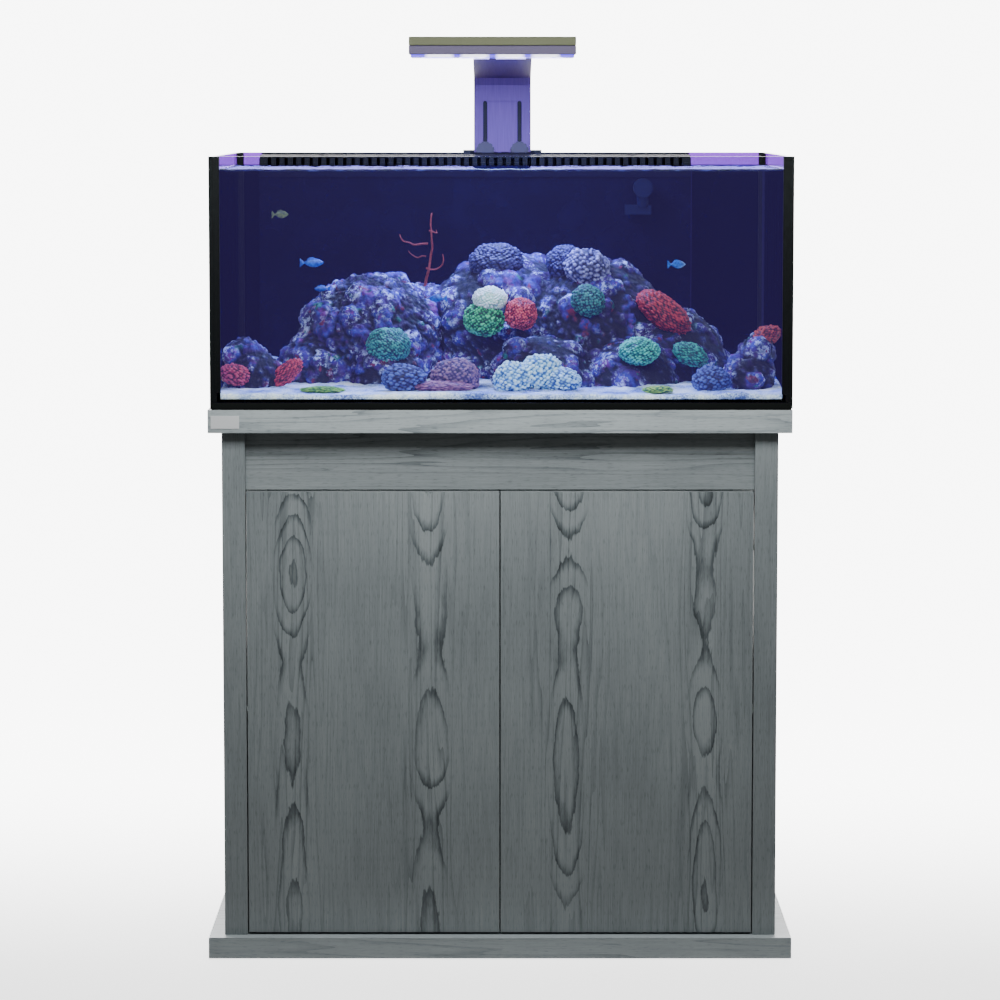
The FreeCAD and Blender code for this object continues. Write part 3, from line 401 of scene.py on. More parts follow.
def float_glass(name, axis, tint="#eef6f4", above_water_tint_and_painted_light="#eef6f4", edge="#0b1513"):
    """Clear pane: see-through with a mirror-like share that grows at a grazing angle; its cut
    edges, those not facing along axis, are dark. Light passes straight through it, with a second
    tint above the waterline, which on the end panes is painted violet lamp light."""
    material = bpy.data.materials.new(name)
    material.use_nodes = True
    tree = material.node_tree
    tree.nodes.clear()
    facing = add(tree, "SeparateXYZ", {0: add(tree, "TexCoord").outputs["Normal"]}).outputs[axis]
    broad = maths_in(tree, "GREATER_THAN", maths_in(tree, "ABSOLUTE", facing), 0.5)
    height = add(tree, "SeparateXYZ", {0: add(tree, "TexCoord").outputs["Object"]}).outputs[2]
    above = maths_in(tree, "GREATER_THAN", height, WATER_LEVEL)
    tint_and_painted_lamp_light = add(tree, "Mix", {0: above, 6: linear(tint), 7: linear(above_water_tint_and_painted_light)}, data_type="RGBA")
    clear = add(tree, "BsdfTransparent", {0: tint_and_painted_lamp_light.outputs[2]})
    gloss = add(tree, "BsdfGlossy", {"Color": linear("#ffffff"), "Roughness": 0.0})
    pane = add(tree, "MixShader", {0: outer_sheen(tree, LOW_SHEEN), 1: clear.outputs[0], 2: gloss.outputs[0]})
    cut = add(tree, "BsdfPrincipled", {"Base Color": linear(edge), "Roughness": 0.15})
    shown = add(tree, "MixShader", {0: broad, 1: cut.outputs[0], 2: pane.outputs[0]})
    shadow = add(tree, "LightPath").outputs["Is Shadow Ray"]
    passing = add(tree, "BsdfTransparent", {0: linear("#ffffff")})
    mixed = add(tree, "MixShader", {0: shadow, 1: shown.outputs[0], 2: passing.outputs[0]})
    add(tree, "OutputMaterial", {"Surface": mixed.outputs[0]})
    return material


coat(float_glass("float_glass_front", 1), "front_pane")
coat(float_glass("float_glass_ends", 0, above_water_tint_and_painted_light=PAINTED_VIOLET_LAMP_LIGHT), "left_pane", "right_pane")
coat(moulded("edge_of_base_glass", "#050807", "#0a0f0e", 0.15), "base_pane")
coat(moulded("black_silicone", "#040408", "#07070c", 0.5, Specular_IOR_Level=0.15), "silicone_seams")
coat(moulded("black_foam_mat", "#0a0a0b", "#151517", 0.9, 0.0012), "foam_mat")

# The rear pane carries a black-blue film up to the waterline, and up to the rim behind the weir;
# the strip above the film shows violet: painted lamp light.
film, film_tree, film_shader = finish_of("blue_backed_glass", Roughness=0.12, Specular_IOR_Level=0.15)
film_at = add(film_tree, "TexCoord").outputs["Object"]
film_mist = add(film_tree, "TexNoise", {"Vector": film_at, "Scale": 4.0, "Detail": 2.0})
film_tint = ramp(film_tree, film_mist.outputs[0], (0.3, "#07060f"), (0.7, "#0a0818"))
film_tree.links.new(film_tint.outputs[0], film_shader.inputs["Base Color"])
above_film_painted_lamp_light = add(film_tree, "BsdfTransparent", {0: linear(PAINTED_VIOLET_LAMP_LIGHT)})
dry_gloss = add(film_tree, "BsdfGlossy", {"Color": linear("#cfc8ff"), "Roughness": 0.04})
dry_pane = add(film_tree, "MixShader", {0: add(film_tree, "Fresnel", {"IOR": 1.45}).outputs[0],
                                        1: above_film_painted_lamp_light.outputs[0], 2: dry_gloss.outputs[0]})
film_place = add(film_tree, "SeparateXYZ", {0: film_at}).outputs
weir_low, weir_high = place["weir_box"]
weir_middle = (weir_low[0] + weir_high[0]) / 2
behind_weir = maths_in(film_tree, "COMPARE", film_place[0], weir_middle, weir_high[0] - weir_middle)
above_film = maths_in(film_tree, "GREATER_THAN", film_place[2], WATER_LEVEL)
uncovered = add(film_tree, "Math", {0: above_film, 1: behind_weir}, operation="SUBTRACT", use_clamp=True)
film_split = add(film_tree, "MixShader", {0: uncovered.outputs[0], 1: film_shader.outputs[0],
                                          2: dry_pane.outputs[0]})
film_tree.links.new(film_split.outputs[0], film_tree.nodes["Material Output"].inputs["Surface"])
coat(film, "rear_pane")

# ---- Weir ------------------------------------------------------------------------------------
# A chamber of polished black acrylic along the rear pane, with a lift-out comb and a loose lid.
coat(moulded("black_acrylic_chamber", "#07060f", "#0a0818", 0.15, 0.05, Specular_IOR_Level=0.15), "weir_box")
lid_acrylic = moulded("black_acrylic_sheet", "#050410", "#0a0818", 0.3, 0.002, Specular_IOR_Level=0.12)
coat(lid_acrylic, "weir_lid", "weir_comb", "sock_plate")

# ---- Pipework --------------------------------------------------------------------------------
# Solvent-welded PVC: grey tubes and unions, a red handwheel on the gate valve, a grey nozzle.
grey_pvc = moulded("grey_pvc_pipe", "#454a4d", "#52585b", 0.4, 0.001)
coat(grey_pvc, "bulkheads", "standpipes", "drain_pipes", "return_pipes", "valve_body")
coat(moulded("pale_return_nozzle", "#080a18", "#101430", 0.6, Specular_IOR_Level=0.1), "return_nozzle")
coat(moulded("red_handwheel", "#8f1712", "#a81f19", 0.4), "valve_wheel")

# ---- Sump ------------------------------------------------------------------------------------
# A low glass tank in the cabinet: baffles, felt filter socks on a black plate, and the pump.
sump_glass, sump_tree, _ = finish_of("sump_float_glass", Roughness=0.05)
sump_tree.nodes.clear()
sump_clear = add(sump_tree, "BsdfTransparent", {0: linear("#dcebe8")})
sump_gloss = add(sump_tree, "BsdfGlossy", {"Roughness": 0.03})
sump_mix = add(sump_tree, "MixShader", {0: outer_sheen(sump_tree, LOW_SHEEN), 1: sump_clear.outputs[0],
                                        2: sump_gloss.outputs[0]})
add(sump_tree, "OutputMaterial", {"Surface": sump_mix.outputs[0]})
coat(sump_glass, "sump_tank", "sump_baffles")
felt = moulded("white_felt", "#c9c7bf", "#e6e4dd", 0.95, 0.0008)
coat(felt, "filter_sock_front", "filter_sock_rear")
coat(moulded("black_pump_casing", "#131416", "#1f2124", 0.45), "pump_housing")
coat(moulded("ceramic_rotor", "#a8a69e", "#bbb9b1", 0.4), "pump_rotor")

# ---- Sand ------------------------------------------------------------------------------------
# Fine coral sand, raked into low waves. It is one slab that fills the tank from glass to glass
# and up to the weir, with its top surface z = depth + waves(x, y), banked up to the back.
SAND_GRID = (240, 140)
SAND_DIP = 0.013
SAND_BANK = 0.024


def wobble(points, size, seed, octaves=4):
    """Smooth noise, about -1 to 1: sines of the position along random directions, whose
    wavelength starts at size and shrinks by 0.55 an octave."""
    numbers = np.random.default_rng(seed)
    total = np.zeros(points.shape[:-1])
    for octave in range(octaves):
        directions = numbers.normal(size=(3, 5))
        directions /= np.linalg.norm(directions, axis=0)
        phases = numbers.uniform(0, 2 * math.pi, 5)
        wave = 2 * math.pi / (size * 0.55 ** octave)
        total += np.sin(points @ directions * wave + phases).sum(axis=-1) * 0.27 * 0.6 ** octave
    return total


sand_low, sand_high = place["sand_bed"]
across, depth = np.meshgrid(np.linspace(0, 1, SAND_GRID[0]), np.linspace(0, 1, SAND_GRID[1]), indexing="ij")
top = np.stack([sand_low[0] + across * (sand_high[0] - sand_low[0]),
                sand_low[1] + depth * (sand_high[1] - sand_low[1]),
                np.full(across.shape, sand_high[2])], axis=-1)
top[..., 2] += 0.003 * wobble(top, 0.22, 11, 3) + 0.0012 * wobble(top, 0.02, 12, 2)
top[..., 2] += SAND_BANK * depth - SAND_DIP
framed = np.pad(top, ((1, 1), (1, 1), (0, 0)), mode="edge")
skirt = np.ones(framed.shape[:2], dtype=bool)
skirt[1:-1, 1:-1] = False
framed[skirt, 2] = sand_low[2] + 0.0005
sand_faces = quads(framed.shape[0], framed.shape[1], False).tolist()
order = np.arange(framed.shape[0] * framed.shape[1]).reshape(framed.shape[:2])
sand_faces.append(np.concatenate([order[0, :], order[1:, -1], order[-1, -2::-1], order[-2:0:-1, 0]]).tolist())

# Painted light: the blue in the sand's colour stands in for the lamp's blue light.
coral_sand, sand_tree, sand_shader = finish_of("fine_coral_sand", Roughness=0.95)
sand_at = add(sand_tree, "TexCoord").outputs["Object"]
sand_grain = add(sand_tree, "TexNoise", {"Vector": sand_at, "Scale": 520.0, "Detail": 3.0, "Roughness": 0.7})
sand_cloud = add(sand_tree, "TexNoise", {"Vector": sand_at, "Scale": 22.0, "Detail": 4.0})
sand_mix = maths_in(sand_tree, "ADD", sand_grain.outputs[0], sand_cloud.outputs[0])
sand_grain_and_painted_blue_light = ramp(sand_tree, maths_in(sand_tree, "MULTIPLY", sand_mix, 0.5),
                 (0.40, "#4c5cb0"), (0.47, "#a4b8f0"), (0.53, "#dce8ff"), (0.60, "#ffffff"))
sand_tree.links.new(sand_grain_and_painted_blue_light.outputs[0], sand_shader.inputs["Base Color"])
sand_bump = add(sand_tree, "Bump", {"Strength": 0.8, "Distance": 0.001, "Height": sand_mix})
sand_tree.links.new(sand_bump.outputs[0], sand_shader.inputs["Normal"])
sand = piece("coral_sand", [(framed.reshape(-1, 3), sand_faces)], coral_sand, "stand", "sand")
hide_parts("sand_bed")

# ---- Rocks -----------------------------------------------------------------------------------
# Porous reef rock piled in two mounds with small pieces at each end. A mound is the outer skin,
# seen from its middle, of a few large balls with hundreds of knobs of mixed size set on them.
ROCK_MOUNDS = {
    # node: the mounds in it, each a middle and its balls (radius, x, y, z)
    "rock_main": [((0.115, -0.020, 0.915), ((0.138, 0.012, 0.030, 0.952), (0.128, 0.150, 0.005, 0.955),
                                            (0.096, 0.268, -0.025, 0.912), (0.082, 0.070, -0.125, 0.885),
                                            (0.078, 0.205, -0.115, 0.885), (0.060, 0.315, -0.050, 0.890)))],
    "rock_left": [((-0.205, -0.030, 0.925), ((0.114, -0.205, -0.020, 0.945), (0.068, -0.290, -0.070, 0.900),
                                             (0.086, -0.135, 0.055, 0.955), (0.060, -0.180, -0.110, 0.895)))],
    "rock_small": [((-0.386, -0.185, 0.900), ((0.042, -0.386, -0.185, 0.905), (0.030, -0.405, -0.165, 0.935))),
                   ((0.392, -0.185, 0.900), ((0.040, 0.392, -0.185, 0.905), (0.026, 0.405, -0.180, 0.945)))],
}
# knobs on a mound, and on a small piece: how many, smallest and largest radius
MOUND_KNOBS = ((150, 0.016, 0.030), (700, 0.009, 0.016), (2200, 0.004, 0.008))
PIECE_KNOBS = ((14, 0.012, 0.022), (90, 0.005, 0.010))
MOUND_GRID = (210, 400)
PIECE_GRID = (90, 140)


def sphere(rows, columns):
    """Unit ball as rings of directions from pole to pole."""
    rise = np.linspace(0, math.pi, rows + 2)[1:-1, None]
    turn = np.linspace(0, 2 * math.pi, columns, endpoint=False)[None, :]
    return np.stack([np.sin(rise) * np.cos(turn), np.sin(rise) * np.sin(turn),
                     np.cos(rise) * np.ones_like(turn)], axis=-1)


def reach(directions, centres, radii):
    """Distance from the origin, along each direction, to the far side of the farthest ball:
    b + sqrt(b^2 - c^2 + r^2), where b is the direction times the centre."""
    farthest = np.zeros(directions.shape[:-1])
    for centre, radius in zip(centres, radii):
        along = directions @ centre
        inside = along ** 2 - centre @ centre + radius ** 2
        far_side = along + np.sqrt(np.clip(inside, 0, None))
        farthest = np.where(inside > 0, np.maximum(farthest, far_side), farthest)
    return farthest


def knobbly(middle, balls, knobs, seed, rows, columns):
    """Skin of balls with knobs on them, and how far each point stands out of the plain balls."""
    numbers = np.random.default_rng(seed)
    centres = np.array([ball[1:] for ball in balls]) - middle
    radii = np.array([ball[0] for ball in balls])
    directions = sphere(rows, columns)
    plain = reach(directions, centres, radii)
    skin = plain
    for count, smallest, largest in knobs:
        carrier = numbers.choice(len(radii), count, p=radii ** 2 / (radii ** 2).sum())
        heading = numbers.normal(size=(count, 3))
        heading /= np.linalg.norm(heading, axis=1, keepdims=True)
        size = numbers.uniform(smallest, largest, count)
        sunk = radii[carrier] - size * numbers.uniform(0.30, 0.75, count)
        skin = np.maximum(skin, reach(directions, centres[carrier] + heading * sunk[:, None], size))
    skin = skin + 0.0022 * wobble(directions * plain[..., None], 0.012, seed + 1, 3)
    # Height, how far a point stands out of the plain balls, is what the rock finish paints shade by.
    height = np.clip((skin - plain) / 0.014, 0, 1)
    points, faces = capped(directions * skin[..., None] + middle)
    return (points, faces), np.append(height.ravel(), (0.5, 0.5))


def reef_rock(name):
    """Rock crusted with coralline algae: dark plum holes, purple and blue crust, pale blue
    sugary specks in drifts, and a few wine-red and teal spots; the creases are painted shade."""
    material, tree, shader = finish_of(name, Roughness=0.8)
    at = add(tree, "TexCoord").outputs["Object"]

    def grain(scale, detail, roughness, offset=0.0):
        moved = add(tree, "Mapping", {0: at, 1: (offset, offset, offset)}).outputs[0]
        return add(tree, "TexNoise", {"Vector": moved, "Scale": scale, "Detail": detail,
                                      "Roughness": roughness}).outputs[0]

    def limits(value, low, high, start=0.0, end=1.0):
        return add(tree, "MapRange", {"Value": value, "From Min": low, "From Max": high, "To Min": start,
                                      "To Max": end}).outputs[0]

    def blend(share, first, second):
        return add(tree, "Mix", {0: share, 6: first, 7: second}, data_type="RGBA").outputs[2]

    crust = ramp(tree, grain(34, 4, 0.6), (0.36, "#160a34"), (0.45, "#441866"), (0.52, "#42268a"),
                 (0.58, "#343ca8"), (0.66, "#7c2a8c")).outputs[0]
    spots = blend(limits(grain(48, 2, 0.5, 5.0), 0.64, 0.68), crust, linear("#7c1f3c"))
    spots = blend(limits(grain(40, 2, 0.5, 9.0), 0.64, 0.68), spots, linear("#1f6c66"))
    drifts = limits(grain(22, 3, 0.6, 2.0), 0.42, 0.56)
    sugar = limits(grain(120, 4, 0.75, 7.0), 0.50, 0.58)
    height = add(tree, "Attribute", attribute_name="height").outputs["Fac"]
    # Painted shade darkens the low creases between knobs; the finer grain adds dark holes as well.
    clear_of_painted_crevice_shade = limits(height, 0.02, 0.40)
    specks = maths_in(tree, "MULTIPLY", maths_in(tree, "MULTIPLY", sugar, drifts),
                      limits(height, 0.0, 0.4, 0.35, 1.0))
    crusted = blend(specks, spots, linear("#c4ccff"))
    hollows_and_painted_crevice_shade = blend(maths_in(tree, "MULTIPLY", clear_of_painted_crevice_shade, limits(grain(90, 3, 0.6, 4.0), 0.36, 0.52, 0.3, 1.0)),
                   linear("#070414"), crusted)
    tree.links.new(hollows_and_painted_crevice_shade, shader.inputs["Base Color"])
    rough = add(tree, "Bump", {"Strength": 1.0, "Distance": 0.004, "Height": grain(140, 4, 0.7)}).outputs[0]
    tree.links.new(rough, shader.inputs["Normal"])
    return material


rock_finish = reef_rock("coralline_reef_rock")
for group, mounds in ROCK_MOUNDS.items():
    shells, heights = [], []
    knobs, grid = (MOUND_KNOBS, MOUND_GRID) if len(mounds) == 1 else (PIECE_KNOBS, PIECE_GRID)
    for number, (middle, balls) in enumerate(mounds):
        shell, height = knobbly(np.array(middle), balls, knobs, len(group) + 7 * number, *grid)
        shells.append(shell)
        heights.append(height)
    rock = piece(group.replace("rock", "reef"), shells, rock_finish, "stand", "rock",
                 height=np.concatenate(heights))
    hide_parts(group)

# ---- Corals ----------------------------------------------------------------------------------
# Living heads on the rock and on the sand. Each is a mound set all over with small polyps, in
# one strong colour; the plates and mats are flattened and tilted.
CORAL_HEADS = (
    # name, radius, centre, stretch, tilt about Y, polyp size, painted shade between polyps, knobs, tips
    ("green_polyps", 0.03, (-0.025, -0.15, 0.996), (1.05, 1, 0.9), 0, 0.0022, "#04301f", "#128a4c", "#5fe0a0"),
    ("white_polyps", 0.026, (-0.016, -0.156, 1.028), (1, 1, 0.75), 0, 0.002, "#a4dccc", "#f4fff8", "#ffffff"),
    ("pink_polyps", 0.025, (0.033, -0.16, 1.005), (1, 1, 1), 0, 0.0018, "#4c0a1c", "#b8283e", "#f0606a"),
    ("teal_brain", 0.035, (-0.178, -0.142, 0.953), (1, 0.9, 0.85), 0, 0.002, "#04242c", "#1b6a68", "#45a896"),
    ("teal_mushroom", 0.031, (0.219, -0.186, 0.947), (1, 1, 0.7), 0, 0.0024, "#063a3c", "#1f9a86", "#5fd8bc"),
    ("grey_bubble_upper", 0.036, (0.14, -0.06, 1.072), (1, 1, 0.85), 20, 0.0034, "#1c1838", "#5e5890", "#9a94c8"),
    ("green_patch", 0.024, (0.14, -0.12, 1.024), (1.1, 0.8, 1), 30, 0.002, "#06202c", "#1c5a5c", "#3f9088"),
    ("plum_bump", 0.036, (-0.006, -0.02, 1.082), (1.2, 1, 0.8), 0, 0.0026, "#120c28", "#2e285c", "#504a88"),
    ("plum_bump_right", 0.03, (0.105, -0.03, 1.08), (1, 1, 0.9), 0, 0.0024, "#120c28", "#2c2660", "#4a4690"),
    ("red_plate", 0.034, (0.262, -0.092, 1.003), (1.45, 0.8, 0.72), 38, 0.0022, "#2c040a", "#8c1824", "#c83c3c"),
    ("red_finger_left", 0.02, (-0.336, -0.2, 0.914), (1.5, 0.8, 0.7), -38, 0.002, "#3c0612", "#a01c34", "#d84858"),
    ("red_tuft_far_left", 0.018, (-0.415, -0.225, 0.913), (1.3, 0.9, 0.9), 10, 0.002, "#3c0616", "#a02040", "#d04a64"),
    ("red_tuft_right", 0.018, (0.42, -0.18, 0.972), (1.2, 0.9, 0.8), -15, 0.002, "#34060c", "#8c2020", "#c04a38"),
    ("teal_tuft_right", 0.024, (0.302, -0.15, 0.94), (1.2, 0.9, 0.7), 25, 0.0021, "#04282c", "#156a60", "#35a890"),
    ("ice_lumps_a", 0.028, (0.022, -0.235, 0.908), (1.1, 0.9, 0.9), 0, 0.0027, "#2c5c98", "#8cc4ec", "#e8ffff"),
    ("ice_lumps_b", 0.032, (0.066, -0.225, 0.916), (1, 0.9, 0.9), 0, 0.0029, "#2c5c98", "#8cccf0", "#ecffff"),
    ("ice_lumps_c", 0.024, (0.098, -0.24, 0.904), (1.1, 0.9, 0.8), 0, 0.0026, "#2c4c88", "#78acdc", "#d0f0ff"),
    ("rose_fan", 0.034, (-0.07, -0.215, 0.908), (1.1, 0.7, 0.85), 0, 0.0026, "#2c1c4c", "#6a4a80", "#a87898"),
    ("rose_mat", 0.03, (-0.09, -0.235, 0.895), (1.6, 0.9, 0.3), 0, 0.0024, "#3c1c48", "#8a4470", "#b87a98"),
    ("lime_mat_left", 0.022, (-0.277, -0.262, 0.892), (1.5, 0.9, 0.25), 0, 0.0022, "#1c3c1c", "#4aa03c", "#b0e060"),
    ("lime_mat_right", 0.016, (0.246, -0.264, 0.892), (1.4, 0.9, 0.35), 0, 0.0022, "#1c3c2c", "#58a848", "#c8e060"),
    ("plum_knob_front", 0.026, (-0.15, -0.235, 0.908), (1.3, 0.9, 0.8), 0, 0.0028, "#141030", "#34347c", "#5a6cb8"),
    ("plum_knob_right", 0.026, (0.33, -0.235, 0.905), (1.1, 0.9, 0.8), 0, 0.0028, "#141030", "#34347c", "#5a6cb8"),
)
POLYP_COVER = 1.35


def polyp_head(radius, centre, stretch, tilt, polyp, seed):
    """Flattened ball with polyps, small balls set evenly all over it, and how far each point
    stands out of the plain ball."""
    count = int(4 / (polyp / radius) ** 2 / 2 * POLYP_COVER)
    step = np.arange(count) + 0.5
    rise = np.arccos(1 - 2 * step / count)
    turn = math.pi * (1 + math.sqrt(5)) * step
    heading = np.stack([np.sin(rise) * np.cos(turn), np.sin(rise) * np.sin(turn), np.cos(rise)], axis=-1)
    numbers = np.random.default_rng(seed)
    heading += numbers.normal(scale=0.3 * polyp / radius, size=heading.shape)
    size = polyp * numbers.uniform(0.8, 1.25, count)
    ball = sphere(100, 160)
    skin = np.maximum(reach(ball, heading * radius * 0.97, size), radius * 0.97)
    # The flesh paints shade where this height is low, between the polyps.
    height = np.clip((skin - radius * 0.97) / polyp, 0, 1)
    skin = skin + 0.06 * radius * wobble(ball, 1.1, seed + 5, 2)
    angle = math.radians(tilt)
    turned = np.array([[math.cos(angle), 0, -math.sin(angle)], [0, 1, 0],
                       [math.sin(angle), 0, math.cos(angle)]])
    return capped((ball * skin[..., None] * stretch) @ turned + centre), np.append(height.ravel(), (0.5, 0.5))


def coral_skin(name, painted_gap_shade, knobs, tips):
    """Soft coral flesh, bright on the polyps' tips; painted shade makes it dark between the polyps."""
    material, tree, shader = finish_of(name, Roughness=0.55)
    height = add(tree, "Attribute", attribute_name="height").outputs["Fac"]
    mottle = add(tree, "TexNoise", {"Vector": add(tree, "TexCoord").outputs["Object"], "Scale": 160.0,
                                    "Detail": 3.0})
    lifted = maths_in(tree, "MULTIPLY_ADD", mottle.outputs[0], 0.9, -0.45)
    tint = ramp(tree, maths_in(tree, "ADD", maths_in(tree, "MULTIPLY", height, 0.8), lifted),
                (0.0, painted_gap_shade), (0.42, knobs), (0.85, tips))
    tree.links.new(tint.outputs[0], shader.inputs["Base Color"])
    return material


for number, (name, radius, centre, stretch, tilt, polyp, painted_gap_shade, knobs, tips) in enumerate(CORAL_HEADS):
    shell, height = polyp_head(radius, np.array(centre), np.array(stretch), tilt, polyp, 40 + number)
    flesh = coral_skin(name + "_flesh", painted_gap_shade, knobs, tips)
    piece(name, [shell], flesh, "stand", "coral", height=height)
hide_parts("coral_heads")


def tube(path, radii, sides=10):
    """Rings of a tube along a path: circles across the path's direction at every point."""
    path = np.asarray(path, dtype=float)
    direction = np.gradient(path, axis=0)
    direction /= np.linalg.norm(direction, axis=1, keepdims=True)
    side = np.cross(direction, (0.31, 0.93, 0.17))
    side /= np.linalg.norm(side, axis=1, keepdims=True)
    other = np.cross(direction, side)
    turn = np.linspace(0, 2 * math.pi, sides, endpoint=False)[None, :, None]
    rings = np.cos(turn) * side[:, None, :] + np.sin(turn) * other[:, None, :]
    return path[:, None, :] + rings * np.asarray(radii)[:, None, None]


# A gorgonian: thin orange-red branches that fork upwards, each a tapered tube on a bent path.
FAN_FOOT = np.array([-0.126, 0.040, 1.030])
FAN_BRANCHES = (
    # start along the stem, tip, how far the branch bows out, thickness
    (0.00, (-0.112, 0.040, 1.158), 0.006, 0.0026),
    (0.62, (-0.164, 0.036, 1.124), -0.008, 0.0019),
    (0.78, (-0.104, 0.044, 1.132), 0.005, 0.0014),
    (0.30, (-0.094, 0.046, 1.092), 0.010, 0.0016),
    (0.45, (-0.150, 0.044, 1.096), -0.004, 0.0013),
)
fan_shells = []
fan_stem = np.array(FAN_BRANCHES[0][1]) - FAN_FOOT
for start, tip, bow, thickness in FAN_BRANCHES:
    foot = FAN_FOOT + fan_stem * start
    steps = np.linspace(0, 1, 24)[:, None]
    path = foot + (np.array(tip) - foot) * steps + np.array([bow, 0, -abs(bow)]) * np.sin(math.pi * steps)
    path += 0.0012 * np.stack([wobble(path, 0.02, 60 + number, 2) for number in range(3)], axis=-1)
    fan_shells.append(capped(tube(path, thickness * (1 - 0.5 * steps[:, 0]), 8)))
fan_coral = moulded("orange_gorgonian", "#4c100a", "#93291a", 0.7, 0.0015)
fan = piece("sea_fan", fan_shells, fan_coral, "stand", "gorgonian")
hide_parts("gorgonian")

# ---- Water -----------------------------------------------------------------------------------
# Salt water up to 20 mm below the rim: a closed skin just inside the glass and the weir, with a
# rippled top. From outside it adds a faint blue haze, a painted glow of lamp light in the water;
# its end walls mirror from inside, as water behind glass does.
PAINTED_HAZE_GLOW = 0.13
WATER_CLEAR = 0.0004
WEIR_CLEAR = 0.001
COMB_FRONT = place["weir_comb"][0][1]
water = bpy.data.materials.new("salt_water_painted_glow")
water.use_nodes = True
water_tree = water.node_tree
water_tree.nodes.clear()
water_clear = add(water_tree, "BsdfTransparent", {0: linear("#f2f2ff")})
# Painted glow: an emission standing in for lamp light scattered in the water.
water_painted_glow = add(water_tree, "Emission", {0: linear("#7858c8"), "Strength": 1.0})
leaving = add(water_tree, "NewGeometry").outputs["Backfacing"]
painted_glow_share = maths_in(water_tree, "MULTIPLY", maths_in(water_tree, "SUBTRACT", 1.0, leaving), PAINTED_HAZE_GLOW)
water_body = add(water_tree, "MixShader", {0: painted_glow_share, 1: water_clear.outputs[0], 2: water_painted_glow.outputs[0]})
water_gloss = add(water_tree, "BsdfGlossy", {"Color": linear("#746ac0"), "Roughness": 0.0})
water_at = add(water_tree, "TexCoord").outputs
water_facing = add(water_tree, "SeparateXYZ", {0: water_at["Normal"]}).outputs[1]
water_aside = maths_in(water_tree, "LESS_THAN", maths_in(water_tree, "ABSOLUTE", water_facing), 0.5)
water_depth_at = add(water_tree, "SeparateXYZ", {0: water_at["Object"]}).outputs[1]
water_ahead = maths_in(water_tree, "LESS_THAN", water_depth_at, COMB_FRONT - 0.0015)
water_sheen = maths_in(water_tree, "MULTIPLY", add(water_tree, "Fresnel", {"IOR": 1.33}).outputs[0],
                       maths_in(water_tree, "MULTIPLY", water_aside, water_ahead))
water_mix = add(water_tree, "MixShader", {0: water_sheen,
                                          1: water_body.outputs[0], 2: water_gloss.outputs[0]})
water_pass = add(water_tree, "MixShader", {0: add(water_tree, "LightPath").outputs["Is Shadow Ray"],
                                           1: water_mix.outputs[0],
                                           2: add(water_tree, "BsdfTransparent").outputs[0]})
add(water_tree, "OutputMaterial", {"Surface": water_pass.outputs[0]})

water_x = np.concatenate([np.linspace(inside_low[0] + WATER_CLEAR, weir_high[0] + WEIR_CLEAR, 220),
                          np.linspace(weir_high[0] + WEIR_CLEAR, inside_high[0] - WATER_CLEAR, 40)[1:]])
water_y = np.concatenate([np.linspace(inside_low[1] + WATER_CLEAR, COMB_FRONT - WEIR_CLEAR, 130),
                          np.linspace(COMB_FRONT - WEIR_CLEAR, inside_high[1] - WATER_CLEAR, 26)[1:]])
water_across, water_depth = np.meshgrid(water_x, water_y, indexing="ij")
water_top = np.stack([water_across, water_depth, np.full(water_across.shape, WATER_LEVEL)], axis=-1)
water_top[..., 2] += 0.0008 * wobble(water_top, 0.05, 31, 3)
water_low = water_top.copy()
water_low[..., 2] = place["base_pane"][1][2] + 0.002
cells = quads(len(water_x), len(water_y), False)
cell_middle = water_top.reshape(-1, 3)[cells].mean(axis=1)
cells = cells[(cell_middle[:, 0] > weir_high[0]) | (cell_middle[:, 1] < weir_low[1] - 0.003)]
sides = np.concatenate([np.stack([cells[:, corner], cells[:, (corner + 1) % 4]], axis=-1)
                        for corner in range(4)])
_, first, times = np.unique(np.sort(sides, axis=1), axis=0, return_index=True, return_counts=True)
shore = sides[first[times == 1]]
layer = water_across.size
walls = np.stack([shore[:, 0], shore[:, 1], shore[:, 1] + layer, shore[:, 0] + layer], axis=-1)
piece("salt_water", [(np.concatenate([water_top.reshape(-1, 3), water_low.reshape(-1, 3)]),
                      cells.tolist() + (cells[:, ::-1] + layer).tolist() + walls.tolist())],
      water, "stand", "glass")

# The meniscus: a small concave bead of water along the front pane; its glow is painted lamp light.
meniscus, meniscus_tree, meniscus_shader = finish_of("meniscus_painted_light", Roughness=0.1)
meniscus_wave = add(meniscus_tree, "TexNoise", {"Vector": add(meniscus_tree, "TexCoord").outputs["Object"],
                                                "Scale": 30.0, "Detail": 4.0})
meniscus_painted_light_tint = ramp(meniscus_tree, meniscus_wave.outputs[0],
                     (0.40, "#0a0830"), (0.55, "#1c1650"), (0.66, "#4a50a0"))
meniscus_tree.links.new(meniscus_painted_light_tint.outputs[0], meniscus_shader.inputs["Base Color"])
meniscus_tree.links.new(meniscus_painted_light_tint.outputs[0], meniscus_shader.inputs["Emission Color"])
meniscus_shader.inputs["Emission Strength"].default_value = 0.05
MENISCUS_RADIUS = 0.0018
SEAM_WIDTH = 0.007
edge_x = np.linspace(inside_low[0] + SEAM_WIDTH, inside_high[0] - SEAM_WIDTH, 400)
edge_ripple = wobble(np.stack([edge_x, edge_x * 0, edge_x * 0], axis=-1), 0.05, 8, 2)
edge_path = np.stack([edge_x, np.full(400, inside_low[1] + MENISCUS_RADIUS + WATER_CLEAR),
                      WATER_LEVEL - 0.0005 + 0.0006 * edge_ripple], axis=-1)
piece("meniscus_front", [capped(tube(edge_path, np.full(400, MENISCUS_RADIUS), 8))], meniscus, "stand", "glass")

